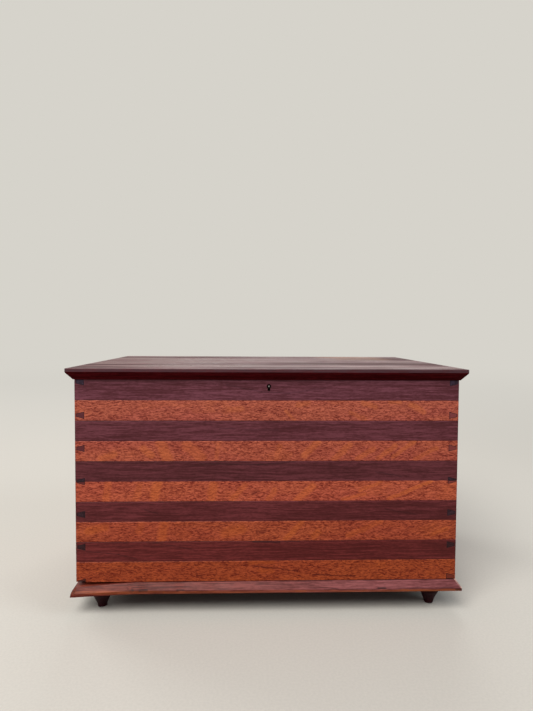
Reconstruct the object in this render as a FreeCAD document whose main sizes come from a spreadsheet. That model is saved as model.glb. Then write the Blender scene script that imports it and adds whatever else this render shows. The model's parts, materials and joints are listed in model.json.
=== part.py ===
"""A small dovetailed chest whose walls are laminated from dark and light strips of wood.

The frame of the part: +X to the right, -Y out of the front, +Z up, in millimetres.
The origin is on the ground, in the middle of the space that the closed chest takes up.
"""

import FreeCAD, Part
import Sketcher
import os

# Counts

STRIP_COUNT = 10
PIN_COUNT = 7
KNUCKLE_COUNT = 5

# Where a foot's cove bends, as shares of the way out and up from the pad to the bulb

COVE_REACH = 0.3
COVE_RISE = 0.6

# Driving dimensions

SIZES = {
    # The case: four laminated boards
    "case_width": 406,
    "case_depth": 280,
    "wall": 10,
    "top_strip": 22,
    "strip_height": 21.5,
    # The dovetails: pins at both ends of the end boards
    "pin_inner": 7.4,
    "pin_outer": 2.6,
    "half_pin_centre": 2.6,
    # The lid
    "lid_overhang": 8,
    "lid_edge": 3.4,
    "lid_bevel_rise": 8.4,
    "lid_lip": 1,
    "lid_arris": 0.7,
    # The base board
    "base_overhang": 5.5,
    "base_edge": 3.5,
    "base_bevel_rise": 7.5,
    "base_lip": 0.5,
    # The turned feet, measured up from the ground
    "foot_height": 25,
    "foot_inset": 21.5,
    "foot_pad_dia": 11.5,
    "foot_pad_height": 6,
    "foot_pad_round": 1.2,
    "foot_bulb_dia": 23,
    "foot_bulb_height": 7,
    "foot_neck_dia": 17,
    "foot_collar_dia": 21,
    "foot_collar_height": 3,
    "foot_neck_height": 2,
    "foot_tenon_dia": 9,
    "foot_tenon_length": 8,
    # The butt hinges
    "hinge_length": 38,
    "hinge_inset": 73,
    "hinge_setback": 0.15,
    "hinge_recess_gap": 0.2,
    "leaf_thickness": 1.2,
    "leaf_land": 1.15,
    "knuckle_dia": 4.6,
    "knuckle_gap": 0.15,
    "knuckle_relief": 0.3,
    "hinge_pin_dia": 2,
    "hinge_pin_clearance": 0.05,
    "hinge_screw_spacing": 13,
    # The screws, all alike
    "screw_dia": 1.8,
    "screw_head_dia": 3.4,
    "screw_head_height": 1,
    "screw_length": 7,
    "screw_tip_length": 2,
    "screw_tip_dia": 0.5,
    "screw_slot_width": 0.5,
    "screw_slot_depth": 0.4,
    # The nails of the base board
    "nail_dia": 1.6,
    "nail_head_dia": 3.2,
    "nail_head_height": 0.8,
    "nail_length": 24,
    "nail_tip_length": 3,
    "nail_tip_dia": 0.4,
    # The lock
    "lock_plate_thickness": 1,
    "lock_case_wall": 0.7,
    "lock_clearance": 0.2,
    "lock_skirt": 2,
    "lock_floor": 4.7,
    "lock_screw_land": 6,
    "lock_screw_spacing": 8,
    "keyhole_dia": 4.8,
    "keyhole_slot_width": 2.8,
    "keyhole_slot_length": 5.3,
    "drill_pin_dia": 1.6,
    "drill_pin_setback": 1,
    # The bolt and the staples that it catches
    "staple_spacing": 14,
    "staple_thickness": 1.2,
    "staple_rim": 0.8,
    "staple_headroom": 0.9,
    "staple_slot_gap": 0.4,
    "eye_width": 2,
    "eye_height": 2,
    "eye_floor": 0.7,
    "eye_clearance": 0.3,
    "bolt_gap": 0.3,
    "bolt_nose": 3.2,
    "bolt_post": 1.8,
    "bolt_spine": 1.1,
    "spring_thickness": 0.4,
    "spring_radius": 6,
}

# Levels and planes that the pieces share, worked out from the sizes

GROUND = "0"
BASE_BOTTOM = "Sizes.foot_height"
BASE_TOP = "(Sizes.foot_height + Sizes.base_edge + Sizes.base_bevel_rise)"
RIM = f"({BASE_TOP} + Sizes.top_strip + {STRIP_COUNT - 1} * Sizes.strip_height)"

LEFT = "(-Sizes.case_width / 2)"
RIGHT = "(Sizes.case_width / 2)"
KNUCKLE_REACH = "(Sizes.hinge_setback + Sizes.knuckle_dia / 2)"
FRONT = (
    "((max(Sizes.lid_overhang; Sizes.base_overhang)"
    f" - Sizes.case_depth - {KNUCKLE_REACH}) / 2)"
)
BACK = f"({FRONT} + Sizes.case_depth)"
FRONT_INSIDE = f"({FRONT} + Sizes.wall)"
BACK_INSIDE = f"({BACK} - Sizes.wall)"
MIDDLE_Y = f"({FRONT} + Sizes.case_depth / 2)"
HINGE_Y = f"({BACK} + Sizes.hinge_setback)"

BOLT_THICKNESS = "(Sizes.eye_width - 2 * Sizes.eye_clearance)"
STAPLE_WIDTH = "(Sizes.eye_width + 2 * Sizes.staple_rim)"
STAPLE_REACH = "(Sizes.staple_spacing / 2 + Sizes.staple_thickness / 2)"
LOCK_DEPTH = f"({STAPLE_WIDTH} + 2 * (Sizes.lock_case_wall + Sizes.lock_clearance))"
LOCK_HALF = (
    f"({STAPLE_REACH} + 2 * Sizes.bolt_gap + Sizes.bolt_nose"
    " + Sizes.bolt_post + Sizes.lock_case_wall)"
)
PLATE_HALF = f"({LOCK_HALF} + Sizes.lock_screw_land)"
PLATE_FRONT = f"({FRONT_INSIDE} - Sizes.lock_plate_thickness)"
LOCK_FRONT = f"({PLATE_FRONT} - {LOCK_DEPTH})"
BOLT_Y = f"({PLATE_FRONT} - {LOCK_DEPTH} / 2)"
SELVEDGE_BOTTOM = f"({RIM} - Sizes.lock_plate_thickness)"
EYE_TOP = f"({SELVEDGE_BOTTOM} - Sizes.staple_headroom)"
EYE_BOTTOM = f"({EYE_TOP} - Sizes.eye_height)"
STAPLE_BOTTOM = f"({EYE_BOTTOM} - Sizes.eye_floor)"
SPINE_TOP = f"({STAPLE_BOTTOM} - Sizes.bolt_gap)"
SPINE_BOTTOM = f"({SPINE_TOP} - Sizes.bolt_spine)"
KEYHOLE_Z = f"({SPINE_BOTTOM} - Sizes.lock_clearance - Sizes.drill_pin_dia / 2)"
LOCK_BOTTOM = f"({KEYHOLE_Z} - Sizes.keyhole_slot_length - Sizes.lock_floor)"
PLATE_BOTTOM = f"({LOCK_BOTTOM} - Sizes.lock_skirt)"

X_AXIS = FreeCAD.Vector(1, 0, 0)
Y_AXIS = FreeCAD.Vector(0, 1, 0)
Z_AXIS = FreeCAD.Vector(0, 0, 1)

doc = FreeCAD.newDocument("MiniatureChest")
sizes = doc.addObject("Spreadsheet::Sheet", "Sizes")
for row, (alias, size) in enumerate(SIZES.items(), start=1):
    sizes.set(f"A{row}", alias)
    sizes.set(f"B{row}", str(size))
    sizes.setAlias(f"B{row}", alias)
doc.recompute()

sub_parts = []


def value(expression):
    """Return what an expression on the sheet gives, as a plain number."""
    result = sizes.evalExpression(expression)
    return float(getattr(result, "Value", result))


def bind(item, expressions):
    """Tie properties of an object to expressions on the sheet."""
    for name, expression in expressions.items():
        item.setExpression(name, expression)
    return item


def place(item, x, y, z):
    """Tie an object's position to expressions on the sheet."""
    position = {"Placement.Base.x": x, "Placement.Base.y": y, "Placement.Base.z": z}
    return bind(item, position)


def keep(item):
    """List an object as a sub-part that is written out under its label."""
    sub_parts.append(item)
    return item


# Plain shapes


def block(name, x, y, z):
    """Make a box between two values along each axis."""
    item = doc.addObject("Part::Box", name)
    place(item, x[0], y[0], z[0])
    lengths = {
        "Length": f"({x[1]}) - ({x[0]})",
        "Width": f"({y[1]}) - ({y[0]})",
        "Height": f"({z[1]}) - ({z[0]})",
    }
    return bind(item, lengths)


def rod(name, start, direction, radius, length):
    """Make a cylinder from a point, along a direction."""
    item = doc.addObject("Part::Cylinder", name)
    item.Placement.Rotation = FreeCAD.Rotation(Z_AXIS, direction)
    place(item, *start)
    return bind(item, {"Radius": radius, "Height": length})


def taper(name, start, direction, radius, end_radius, length):
    """Make a cone from a point, along a direction."""
    item = doc.addObject("Part::Cone", name)
    item.Placement.Rotation = FreeCAD.Rotation(Z_AXIS, direction)
    place(item, *start)
    return bind(item, {"Radius1": radius, "Radius2": end_radius, "Height": length})


def fuse(name, shapes):
    """Join shapes into one solid."""
    item = doc.addObject("Part::MultiFuse", name)
    item.Shapes = shapes
    item.Refine = True
    return item


def group(name, shapes):
    """Gather separate solids under one name."""
    item = doc.addObject("Part::Compound", name)
    item.Links = shapes
    return item


def cut(name, base, tools):
    """Take tools away from a base."""
    item = doc.addObject("Part::Cut", name)
    item.Base = base
    item.Tool = tools[0] if len(tools) == 1 else fuse(f"{name}_tools", tools)
    item.Refine = True
    return item


def common(name, base, tool):
    """Keep what two shapes share."""
    item = doc.addObject("Part::Common", name)
    item.Base = base
    item.Tool = tool
    item.Refine = True
    return item


def along(start, direction, distance):
    """Return a point's expressions, moved along a direction by a distance."""
    moved = []
    for place_expression, component in zip(start, direction):
        moved.append(f"{place_expression} + {component} * ({distance})")
    return moved


def origin_plane(body, role):
    """Return one of a body's own origin planes."""
    return next(plane for plane in body.Origin.OriginFeatures if plane.Role == role)


def new_sketch(body, name, role):
    """Add a sketch to a body, flat on one of its origin planes."""
    sketch = body.newObject("Sketcher::SketchObject", name)
    sketch.AttachmentSupport = [(origin_plane(body, role), "")]
    sketch.MapMode = "FlatFace"
    return sketch


# Fasteners


def screw(name, head, direction, slot_along):
    """Make a countersunk wood screw and the space that it fills."""
    shank = "Sizes.screw_dia / 2"
    shank_length = "Sizes.screw_length - Sizes.screw_head_height - Sizes.screw_tip_length"
    neck = along(head, direction, "Sizes.screw_head_height")
    tip = along(head, direction, "Sizes.screw_length - Sizes.screw_tip_length")
    pieces = [
        taper(f"{name}_head", head, direction, "Sizes.screw_head_dia / 2", shank,
              "Sizes.screw_head_height"),
        rod(f"{name}_shank", neck, direction, shank, shank_length),
        taper(f"{name}_tip", tip, direction, shank, "Sizes.screw_tip_dia / 2",
              "Sizes.screw_tip_length"),
    ]
    whole = fuse(f"{name}_space", pieces)

    reach = []
    for head_place, into, across in zip(head, direction, slot_along):
        if into:
            ends = sorted([0, into])
            depth = "Sizes.screw_slot_depth"
            reach.append([f"{head_place} + {end} * {depth}" for end in ends])
            continue
        half = "Sizes.screw_head_dia" if across else "Sizes.screw_slot_width / 2"
        reach.append([f"{head_place} - {half}", f"{head_place} + {half}"])
    slot = block(f"{name}_slot", *reach)
    return cut(name, whole, [slot]), whole


def nail(name, x, y):
    """Make a nail that is driven up through the base board."""
    head = [x, y, BASE_BOTTOM]
    up = Z_AXIS
    shank = "Sizes.nail_dia / 2"
    shank_length = "Sizes.nail_length - Sizes.nail_head_height - Sizes.nail_tip_length"
    neck = along(head, up, "Sizes.nail_head_height")
    tip = along(head, up, "Sizes.nail_length - Sizes.nail_tip_length")
    pieces = [
        rod(f"{name}_head", head, up, "Sizes.nail_head_dia / 2", "Sizes.nail_head_height"),
        rod(f"{name}_shank", neck, up, shank, shank_length),
        taper(f"{name}_tip", tip, up, shank, "Sizes.nail_tip_dia / 2",
              "Sizes.nail_tip_length"),
    ]
    return fuse(name, pieces)


def make_base_nails():
    """Make the nails along the middle of each wall."""
    front_line = f"{FRONT} + Sizes.wall / 2"
    back_line = f"{BACK} - Sizes.wall / 2"
    left_line = f"{LEFT} + Sizes.wall / 2"
    right_line = f"{RIGHT} - Sizes.wall / 2"
    places = []
    for line in (front_line, back_line):
        for third in (-1, 0, 1):
            places.append((f"{third} * Sizes.case_width / 3", line))
    for line in (left_line, right_line):
        for quarter in (-1, 1):
            places.append((line, f"{MIDDLE_Y} + {quarter} * Sizes.case_depth / 4"))
    return [nail(f"base_nail_{n}", x, y) for n, (x, y) in enumerate(places, start=1)]


# The turned feet


def turned_profile(sketch, start, steps):
    """Draw a closed half outline of lines and three-point arcs, tied to the sheet.

    A step is the (radius, height) of its end, or, for an arc, of a middle point and its end.
    """
    here = FreeCAD.Vector(value(start[0]), value(start[1]), 0)
    first = here
    curves = []
    for step in steps:
        there = FreeCAD.Vector(value(step[-2]), value(step[-1]), 0)
        if len(step) == 2:
            curve = sketch.addGeometry(Part.LineSegment(here, there), False)
            curves.append((curve, step, 1, 2))
        else:
            through = FreeCAD.Vector(value(step[0]), value(step[1]), 0)
            turns_left = (through - here).cross(there - here).z > 0
            begin, end = (1, 2) if turns_left else (2, 1)
            ends = (here, there) if turns_left else (there, here)
            arc = Part.Arc(ends[0], through, ends[1])
            curve = sketch.addGeometry(arc, False)
            middle = sketch.addGeometry(Part.Point(through), True)
            sketch.addConstraint(Sketcher.Constraint("PointOnObject", middle, 1, curve))
            fix_point(sketch, middle, 1, step[0], step[1])
            curves.append((curve, step, begin, end))
        here = there
    closing = sketch.addGeometry(Part.LineSegment(here, first), False)
    curves.append((closing, None, 1, 2))

    for (curve, step, begin, end), following in zip(curves, curves[1:] + curves[:1]):
        joint = Sketcher.Constraint("Coincident", curve, end, following[0], following[2])
        sketch.addConstraint(joint)
        if step is not None:
            fix_point(sketch, curve, end, step[-2], step[-1])
    sketch.addConstraint(Sketcher.Constraint("Coincident", curves[0][0], 1, -1, 1))


def fix_point(sketch, curve, point, x, y):
    """Tie a sketch point's distances from the origin to the sheet."""
    for kind, expression, along_axis in (("DistanceX", x, -2), ("DistanceY", y, -1)):
        distance = value(expression)
        if distance == 0:
            sketch.addConstraint(
                Sketcher.Constraint("PointOnObject", curve, point, along_axis)
            )
            continue
        index = sketch.addConstraint(
            Sketcher.Constraint(kind, -1, 1, curve, point, distance)
        )
        sketch.setExpression(f"Constraints[{index}]", expression)


def foot(name, x, y):
    """Turn a foot: a small pad, a bulb, a neck, a collar and a tenon above it."""
    pad = "Sizes.foot_pad_dia / 2"
    pad_top = "Sizes.foot_pad_height"
    bulb = "Sizes.foot_bulb_dia / 2"
    neck = "Sizes.foot_neck_dia / 2"
    collar = "Sizes.foot_collar_dia / 2"
    tenon = "Sizes.foot_tenon_dia / 2"
    top = "Sizes.foot_height"
    collar_bottom = f"{top} - Sizes.foot_collar_height"
    bulb_top = f"{collar_bottom} - Sizes.foot_neck_height"
    bulb_bottom = f"{bulb_top} - Sizes.foot_bulb_height"
    bulb_edge = f"({bulb} + {neck}) / 2"
    cove_r = f"{pad} + ({bulb_edge} - {pad}) * {COVE_REACH}"
    cove_z = f"{pad_top} + ({bulb_bottom} - {pad_top}) * {COVE_RISE}"

    body = doc.addObject("PartDesign::Body", name)
    sketch = new_sketch(body, f"{name}_profile", "XZ_Plane")
    steps = [
        (f"{pad} - Sizes.foot_pad_round", "0"),
        (pad, "Sizes.foot_pad_round"),
        (pad, pad_top),
        (cove_r, cove_z, bulb_edge, bulb_bottom),
        (bulb, f"{bulb_bottom} + Sizes.foot_bulb_height / 2", neck, bulb_top),
        (collar, collar_bottom),
        (collar, top),
        (tenon, top),
        (tenon, f"{top} + Sizes.foot_tenon_length"),
        ("0", f"{top} + Sizes.foot_tenon_length"),
    ]
    turned_profile(sketch, ("0", "0"), steps)
    turning = body.newObject("PartDesign::Revolution", f"{name}_turning")
    turning.Profile = sketch
    turning.ReferenceAxis = (sketch, ["V_Axis"])
    turning.Angle = 360
    place(body, x, y, GROUND)
    return keep(body)


def make_feet():
    """Set the four feet in from the corners of the case."""
    left = f"{LEFT} + Sizes.foot_inset"
    right = f"{RIGHT} - Sizes.foot_inset"
    front = f"{FRONT} + Sizes.foot_inset"
    back = f"{BACK} - Sizes.foot_inset"
    return [
        foot("foot_front_left", left, front),
        foot("foot_front_right", right, front),
        foot("foot_back_left", left, back),
        foot("foot_back_right", right, back),
    ]


# The lid and the base, each one board with a bevel on three sides


def board_blank(name, overhang, thickness):
    """Pad a rectangle that overhangs the case at the front and the ends."""
    body = doc.addObject("PartDesign::Body", name)
    sketch = new_sketch(body, f"{name}_outline", "XY_Plane")
    width = f"Sizes.case_width + 2 * {overhang}"
    depth = f"Sizes.case_depth + {overhang}"
    right, back = value(width), value(depth)
    corners = [(0, 0), (right, 0), (right, back), (0, back)]
    points = [FreeCAD.Vector(x, y, 0) for x, y in corners]
    sides = []
    for start, end in zip(points, points[1:] + points[:1]):
        sides.append(sketch.addGeometry(Part.LineSegment(start, end), False))
    for side, following in zip(sides, sides[1:] + sides[:1]):
        sketch.addConstraint(Sketcher.Constraint("Coincident", side, 2, following, 1))
    for side, direction in zip(sides, ["Horizontal", "Vertical"] * 2):
        sketch.addConstraint(Sketcher.Constraint(direction, side))
    sketch.addConstraint(Sketcher.Constraint("Coincident", sides[0], 1, -1, 1))
    for kind, side, length in (("DistanceX", sides[0], width), ("DistanceY", sides[1], depth)):
        distance = Sketcher.Constraint(kind, side, 1, side, 2, value(length))
        sketch.setExpression(f"Constraints[{sketch.addConstraint(distance)}]", length)
    pad = body.newObject("PartDesign::Pad", f"{name}_pad")
    pad.Profile = sketch
    bind(pad, {"Length": thickness})
    return body, pad


def edges_at(feature, level):
    """Name the front and end edges at a level; the back edge stays square."""
    doc.recompute()
    box = feature.Shape.BoundBox
    tolerance = 1e-6
    names = []
    for number, edge in enumerate(feature.Shape.Edges, start=1):
        middle = edge.CenterOfMass
        at_level = abs(middle.z - level) < tolerance
        if at_level and abs(middle.y - box.YMax) > tolerance:
            names.append(f"Edge{number}")
    return names


def bevel(body, feature, name, level, rise, run):
    """Plane a bevel along the front and the ends of a board."""
    chamfer = body.newObject("PartDesign::Chamfer", name)
    chamfer.Base = (feature, edges_at(feature, level))
    chamfer.ChamferType = "Two distances"
    return bind(chamfer, {"Size": rise, "Size2": run})


def make_lid(tools):
    """Make the lid: bevelled underneath, with its upper arris eased."""
    thickness = "Sizes.lid_edge + Sizes.lid_bevel_rise"
    body, pad = board_blank("lid_blank", "Sizes.lid_overhang", thickness)
    run = "Sizes.lid_overhang - Sizes.lid_lip"
    chamfer = bevel(body, pad, "lid_bevel", 0, "Sizes.lid_bevel_rise", run)
    arris = body.newObject("PartDesign::Fillet", "lid_arris_round")
    arris.Base = (chamfer, edges_at(chamfer, value(thickness)))
    bind(arris, {"Radius": "Sizes.lid_arris"})
    place(body, f"{LEFT} - Sizes.lid_overhang", f"{FRONT} - Sizes.lid_overhang", RIM)
    return keep(cut("lid_board", body, tools))


def make_base(tools):
    """Make the base board: bevelled on top, bored for the feet and the nails."""
    thickness = "Sizes.base_edge + Sizes.base_bevel_rise"
    body, pad = board_blank("base_blank", "Sizes.base_overhang", thickness)
    run = "Sizes.base_overhang - Sizes.base_lip"
    bevel(body, pad, "base_bevel", value(thickness), "Sizes.base_bevel_rise", run)
    place(
        body,
        f"{LEFT} - Sizes.base_overhang",
        f"{FRONT} - Sizes.base_overhang",
        BASE_BOTTOM,
    )
    return keep(cut("base_board", body, tools))


# The case


def dovetail_pins(name, front_face):
    """Make the pins that pass through one long board, at both of its corners."""
    spacing = f"({RIM} - {BASE_TOP} - 2 * Sizes.half_pin_centre) / {PIN_COUNT - 1}"
    pins = []
    for number in range(PIN_COUNT):
        level = f"{RIM} - Sizes.half_pin_centre - {number} * {spacing}"
        for side, turn in (("left", -90), ("right", 90)):
            wedge = doc.addObject("Part::Wedge", f"{name}_pin_{side}_{number + 1}")
            wedge.Xmin = 0
            wedge.X2min = 0
            wedge.Ymin = 0
            spans = {
                "Xmax": "Sizes.wall",
                "X2max": "Sizes.wall",
                "Ymax": "Sizes.wall",
                "Zmin": "-Sizes.pin_outer / 2",
                "Zmax": "Sizes.pin_outer / 2",
                "Z2min": "-Sizes.pin_inner / 2",
                "Z2max": "Sizes.pin_inner / 2",
            }
            bind(wedge, spans)
            wedge.Placement.Rotation = FreeCAD.Rotation(Z_AXIS, turn)
            if side == "left":
                place(wedge, LEFT, f"{front_face} + Sizes.wall", level)
            else:
                place(wedge, RIGHT, front_face, level)
            pins.append(wedge)
    for edge, levels in (
        ("top", (f"{RIM} - Sizes.half_pin_centre", RIM)),
        ("bottom", (BASE_TOP, f"{BASE_TOP} + Sizes.half_pin_centre")),
    ):
        for side, face in (("left", LEFT), ("right", f"{RIGHT} - Sizes.wall")):
            pins.append(
                block(
                    f"{name}_half_pin_{side}_{edge}",
                    (face, f"{face} + Sizes.wall"),
                    (front_face, f"{front_face} + Sizes.wall"),
                    levels,
                )
            )
    return pins


def tailed_board(name, front_face):
    """Make a long board with its tails cut, before anything is let into it."""
    blank = block(
        f"{name}_blank",
        (LEFT, RIGHT),
        (front_face, f"({front_face} + Sizes.wall)"),
        (BASE_TOP, RIM),
    )
    return cut(f"{name}_tailed", blank, dovetail_pins(name, front_face))


def end_board(name, left_face, front_board, back_board, nails):
    """Make an end board whose pins fill the spaces between the tails."""
    blank = block(
        f"{name}_blank",
        (left_face, f"({left_face} + Sizes.wall)"),
        (FRONT, BACK),
        (BASE_TOP, RIM),
    )
    return cut(f"{name}_pinned", blank, [front_board, back_board, *nails])


def make_strips(side, board):
    """Part a board into the strips that it is laminated from, from the top down."""
    for number in range(1, STRIP_COUNT + 1):
        top = RIM
        height = "Sizes.top_strip"
        if number > 1:
            top = f"({RIM} - Sizes.top_strip - {number - 2} * Sizes.strip_height)"
            height = "Sizes.strip_height"
        layer = block(
            f"{side}_layer_{number:02d}",
            (LEFT, RIGHT),
            (FRONT, BACK),
            (f"({top} - {height})", top),
        )
        keep(common(f"{side}_strip_{number:02d}", board, layer))


# The hinges


def hinge(side, centre):
    """Make one butt hinge and return its pin, its screws and the spaces that it is let into.

    The leaves meet in the plane of the rim, and the pin's axis lies in that plane.
    """
    start = f"({centre} - Sizes.hinge_length / 2)"
    end = f"({centre} + Sizes.hinge_length / 2)"
    leaf_inside = f"({BACK_INSIDE} + Sizes.leaf_land)"
    case_level = f"({RIM} - Sizes.leaf_thickness)"
    lid_level = f"({RIM} + Sizes.leaf_thickness)"
    barrel_radius = "Sizes.knuckle_dia / 2"
    relief_radius = "Sizes.knuckle_dia / 2 + Sizes.knuckle_relief"
    segment = f"Sizes.hinge_length / {KNUCKLE_COUNT}"
    axis = [start, HINGE_Y, RIM]

    pin = rod(f"hinge_pin_{side}", axis, X_AXIS, "Sizes.hinge_pin_dia / 2",
              "Sizes.hinge_length")
    bore_radius = "Sizes.hinge_pin_dia / 2 + Sizes.hinge_pin_clearance"
    bore = rod(f"hinge_bore_{side}", axis, X_AXIS, bore_radius, "Sizes.hinge_length")

    case_spaces = []
    lid_spaces = []
    for number in range(KNUCKLE_COUNT):
        name = f"knuckle_space_{side}_{number + 1}"
        if number % 2:
            low = along(axis, X_AXIS, f"{number} * {segment}")
            case_spaces.append(rod(name, low, X_AXIS, relief_radius, segment))
        else:
            low = along(axis, X_AXIS, f"{number} * {segment} - Sizes.knuckle_gap")
            length = f"{segment} + 2 * Sizes.knuckle_gap"
            lid_spaces.append(rod(name, low, X_AXIS, relief_radius, length))

    screw_y = f"(({HINGE_Y} - {barrel_radius}) + {leaf_inside}) / 2"
    screws = {"case": [], "lid": []}
    spaces = {"case": [], "lid": []}
    plans = (
        ("case", case_level, RIM, -Z_AXIS, [pin] + case_spaces),
        ("lid", RIM, lid_level, Z_AXIS, [bore] + lid_spaces),
    )
    for leaf, low, high, direction, cutters in plans:
        for step in (-1, 0, 1):
            name = f"{leaf}_hinge_screw_{side}_{step + 2}"
            head = [f"{centre} + {step} * Sizes.hinge_screw_spacing", screw_y, RIM]
            made, space = screw(name, head, direction, X_AXIS)
            screws[leaf].append(made)
            spaces[leaf].append(space)
        plate = block(f"{leaf}_leaf_plate_{side}", (start, end), (leaf_inside, HINGE_Y),
                      (low, high))
        barrel = rod(f"{leaf}_leaf_barrel_{side}", axis, X_AXIS, barrel_radius,
                     "Sizes.hinge_length")
        blank = fuse(f"{leaf}_leaf_blank_{side}", [plate, barrel])
        keep(cut(f"{leaf}_hinge_leaf_{side}", blank, cutters + spaces[leaf]))

    recess_start = f"({start} - Sizes.hinge_recess_gap)"
    recess_end = f"({end} + Sizes.hinge_recess_gap)"
    recess_length = "Sizes.hinge_length + 2 * Sizes.hinge_recess_gap"
    barrel_recess = rod(f"barrel_recess_{side}", [recess_start, HINGE_Y, RIM], X_AXIS,
                        relief_radius, recess_length)
    leaf_recesses = {}
    for leaf, low, high in (("case", case_level, RIM), ("lid", RIM, lid_level)):
        leaf_recesses[leaf] = block(
            f"{leaf}_leaf_recess_{side}",
            (recess_start, recess_end),
            (leaf_inside, HINGE_Y),
            (low, high),
        )
    case_tools = [leaf_recesses["case"], barrel_recess, *spaces["case"]]
    lid_tools = [leaf_recesses["lid"], barrel_recess, *spaces["lid"]]
    return pin, screws, case_tools, lid_tools


# The lock


def keyhole(name, start, depth):
    """Make the space of a keyhole: a round hole with a rounded slot below it."""
    slot_radius = "Sizes.keyhole_slot_width / 2"
    slot_bottom = f"({KEYHOLE_Z} - Sizes.keyhole_slot_length + {slot_radius})"
    top = rod(f"{name}_round", ["0", start, KEYHOLE_Z], Y_AXIS, "Sizes.keyhole_dia / 2",
              depth)
    slot = block(
        f"{name}_slot",
        (f"(-{slot_radius})", slot_radius),
        (start, f"({start} + {depth})"),
        (slot_bottom, KEYHOLE_Z),
    )
    foot_round = rod(f"{name}_foot", ["0", start, slot_bottom], Y_AXIS, slot_radius,
                     depth)
    return fuse(name, [top, slot, foot_round])


def staple_blocks(name, gap, bottom, top):
    """Make a block round each staple of the link plate, larger by a gap."""
    blocks = []
    for side, sign in (("left", -1), ("right", 1)):
        centre = f"{sign} * Sizes.staple_spacing / 2"
        half = f"(Sizes.staple_thickness / 2 + {gap})"
        width = f"({STAPLE_WIDTH} / 2 + {gap})"
        blocks.append(
            block(
                f"{name}_{side}",
                (f"({centre} - {half})", f"({centre} + {half})"),
                (f"({BOLT_Y} - {width})", f"({BOLT_Y} + {width})"),
                (bottom, top),
            )
        )
    return blocks


def make_lock():
    """Make the lock in the front and return its screws and the space it is let into."""
    plate = block("lock_back_plate", (f"(-{PLATE_HALF})", PLATE_HALF),
                  (PLATE_FRONT, FRONT_INSIDE), (PLATE_BOTTOM, RIM))
    selvedge = block("lock_selvedge", (f"(-{PLATE_HALF})", PLATE_HALF),
                     (LOCK_FRONT, FRONT_INSIDE), (SELVEDGE_BOTTOM, RIM))
    angle = fuse("lock_angle", [plate, selvedge])

    pin_start = f"({FRONT} + Sizes.drill_pin_setback)"
    drill_pin = rod("drill_pin", ["0", pin_start, KEYHOLE_Z], Y_AXIS,
                    "Sizes.drill_pin_dia / 2", f"{FRONT_INSIDE} - {pin_start}")
    keep(drill_pin)

    screws = []
    screw_spaces = []
    screw_middle = f"({SELVEDGE_BOTTOM} + {PLATE_BOTTOM}) / 2"
    for side, sign in (("left", -1), ("right", 1)):
        for row_name, row_sign in (("upper", 1), ("lower", -1)):
            x = f"{sign} * ({LOCK_HALF} + Sizes.lock_screw_land / 2)"
            z = f"{screw_middle} + {row_sign} * Sizes.lock_screw_spacing / 2"
            made, space = screw(f"lock_screw_{side}_{row_name}", [x, FRONT_INSIDE, z],
                                -Y_AXIS, X_AXIS)
            screws.append(made)
            screw_spaces.append(space)

    slots = staple_blocks("selvedge_slot", "Sizes.staple_slot_gap", SELVEDGE_BOTTOM, RIM)
    keep(cut("lock_plate", angle, [drill_pin, *slots, *screw_spaces]))

    inside = f"({LOCK_HALF} - Sizes.lock_case_wall)"
    shell = block("lock_case_shell", (f"(-{LOCK_HALF})", LOCK_HALF),
                  (LOCK_FRONT, PLATE_FRONT), (LOCK_BOTTOM, SELVEDGE_BOTTOM))
    cavity = block(
        "lock_case_cavity",
        (f"(-{inside})", inside),
        (f"({LOCK_FRONT} + Sizes.lock_case_wall)", PLATE_FRONT),
        (f"({LOCK_BOTTOM} + Sizes.lock_case_wall)", SELVEDGE_BOTTOM),
    )
    case_keyhole = keyhole("lock_case_keyhole", LOCK_FRONT, "Sizes.lock_case_wall")
    keep(cut("lock_case", shell, [cavity, case_keyhole]))

    make_bolt()
    make_spring(inside)

    gap = "Sizes.lock_clearance"
    mortise = [
        plate,
        selvedge,
        block("mortise_case", (f"(-{LOCK_HALF} - {gap})", f"({LOCK_HALF} + {gap})"),
              (f"({LOCK_FRONT} - {gap})", PLATE_FRONT),
              (f"({LOCK_BOTTOM} - {gap})", SELVEDGE_BOTTOM)),
        keyhole("front_keyhole", FRONT, f"({LOCK_FRONT} - {FRONT})"),
    ]
    return screws, mortise + screw_spaces


def make_bolt():
    """Make the bolt, drawn back: a spine with two posts, each with a nose."""
    y = (f"({BOLT_Y} - {BOLT_THICKNESS} / 2)", f"({BOLT_Y} + {BOLT_THICKNESS} / 2)")
    nose_z = (f"({EYE_BOTTOM} + Sizes.eye_clearance)", f"({EYE_TOP} - Sizes.eye_clearance)")
    post_top = f"({SELVEDGE_BOTTOM} - Sizes.bolt_gap)"
    pieces = []
    post_starts = []
    for side, sign in (("left", -1), ("right", 1)):
        staple_face = f"({sign} * Sizes.staple_spacing / 2 - Sizes.staple_thickness / 2)"
        tip = f"({staple_face} - Sizes.bolt_gap)"
        root = f"({tip} - Sizes.bolt_nose)"
        post_start = f"({root} - Sizes.bolt_post)"
        post_starts.append(post_start)
        pieces.append(block(f"bolt_nose_{side}", (post_start, tip), y, nose_z))
        pieces.append(block(f"bolt_post_{side}", (post_start, root), y,
                            (SPINE_BOTTOM, post_top)))
    spine_end = f"({post_starts[1]} + Sizes.bolt_post)"
    pieces.append(block("bolt_spine_bar", (post_starts[0], spine_end), y,
                        (SPINE_BOTTOM, SPINE_TOP)))
    return keep(fuse("lock_bolt", pieces))


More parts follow.
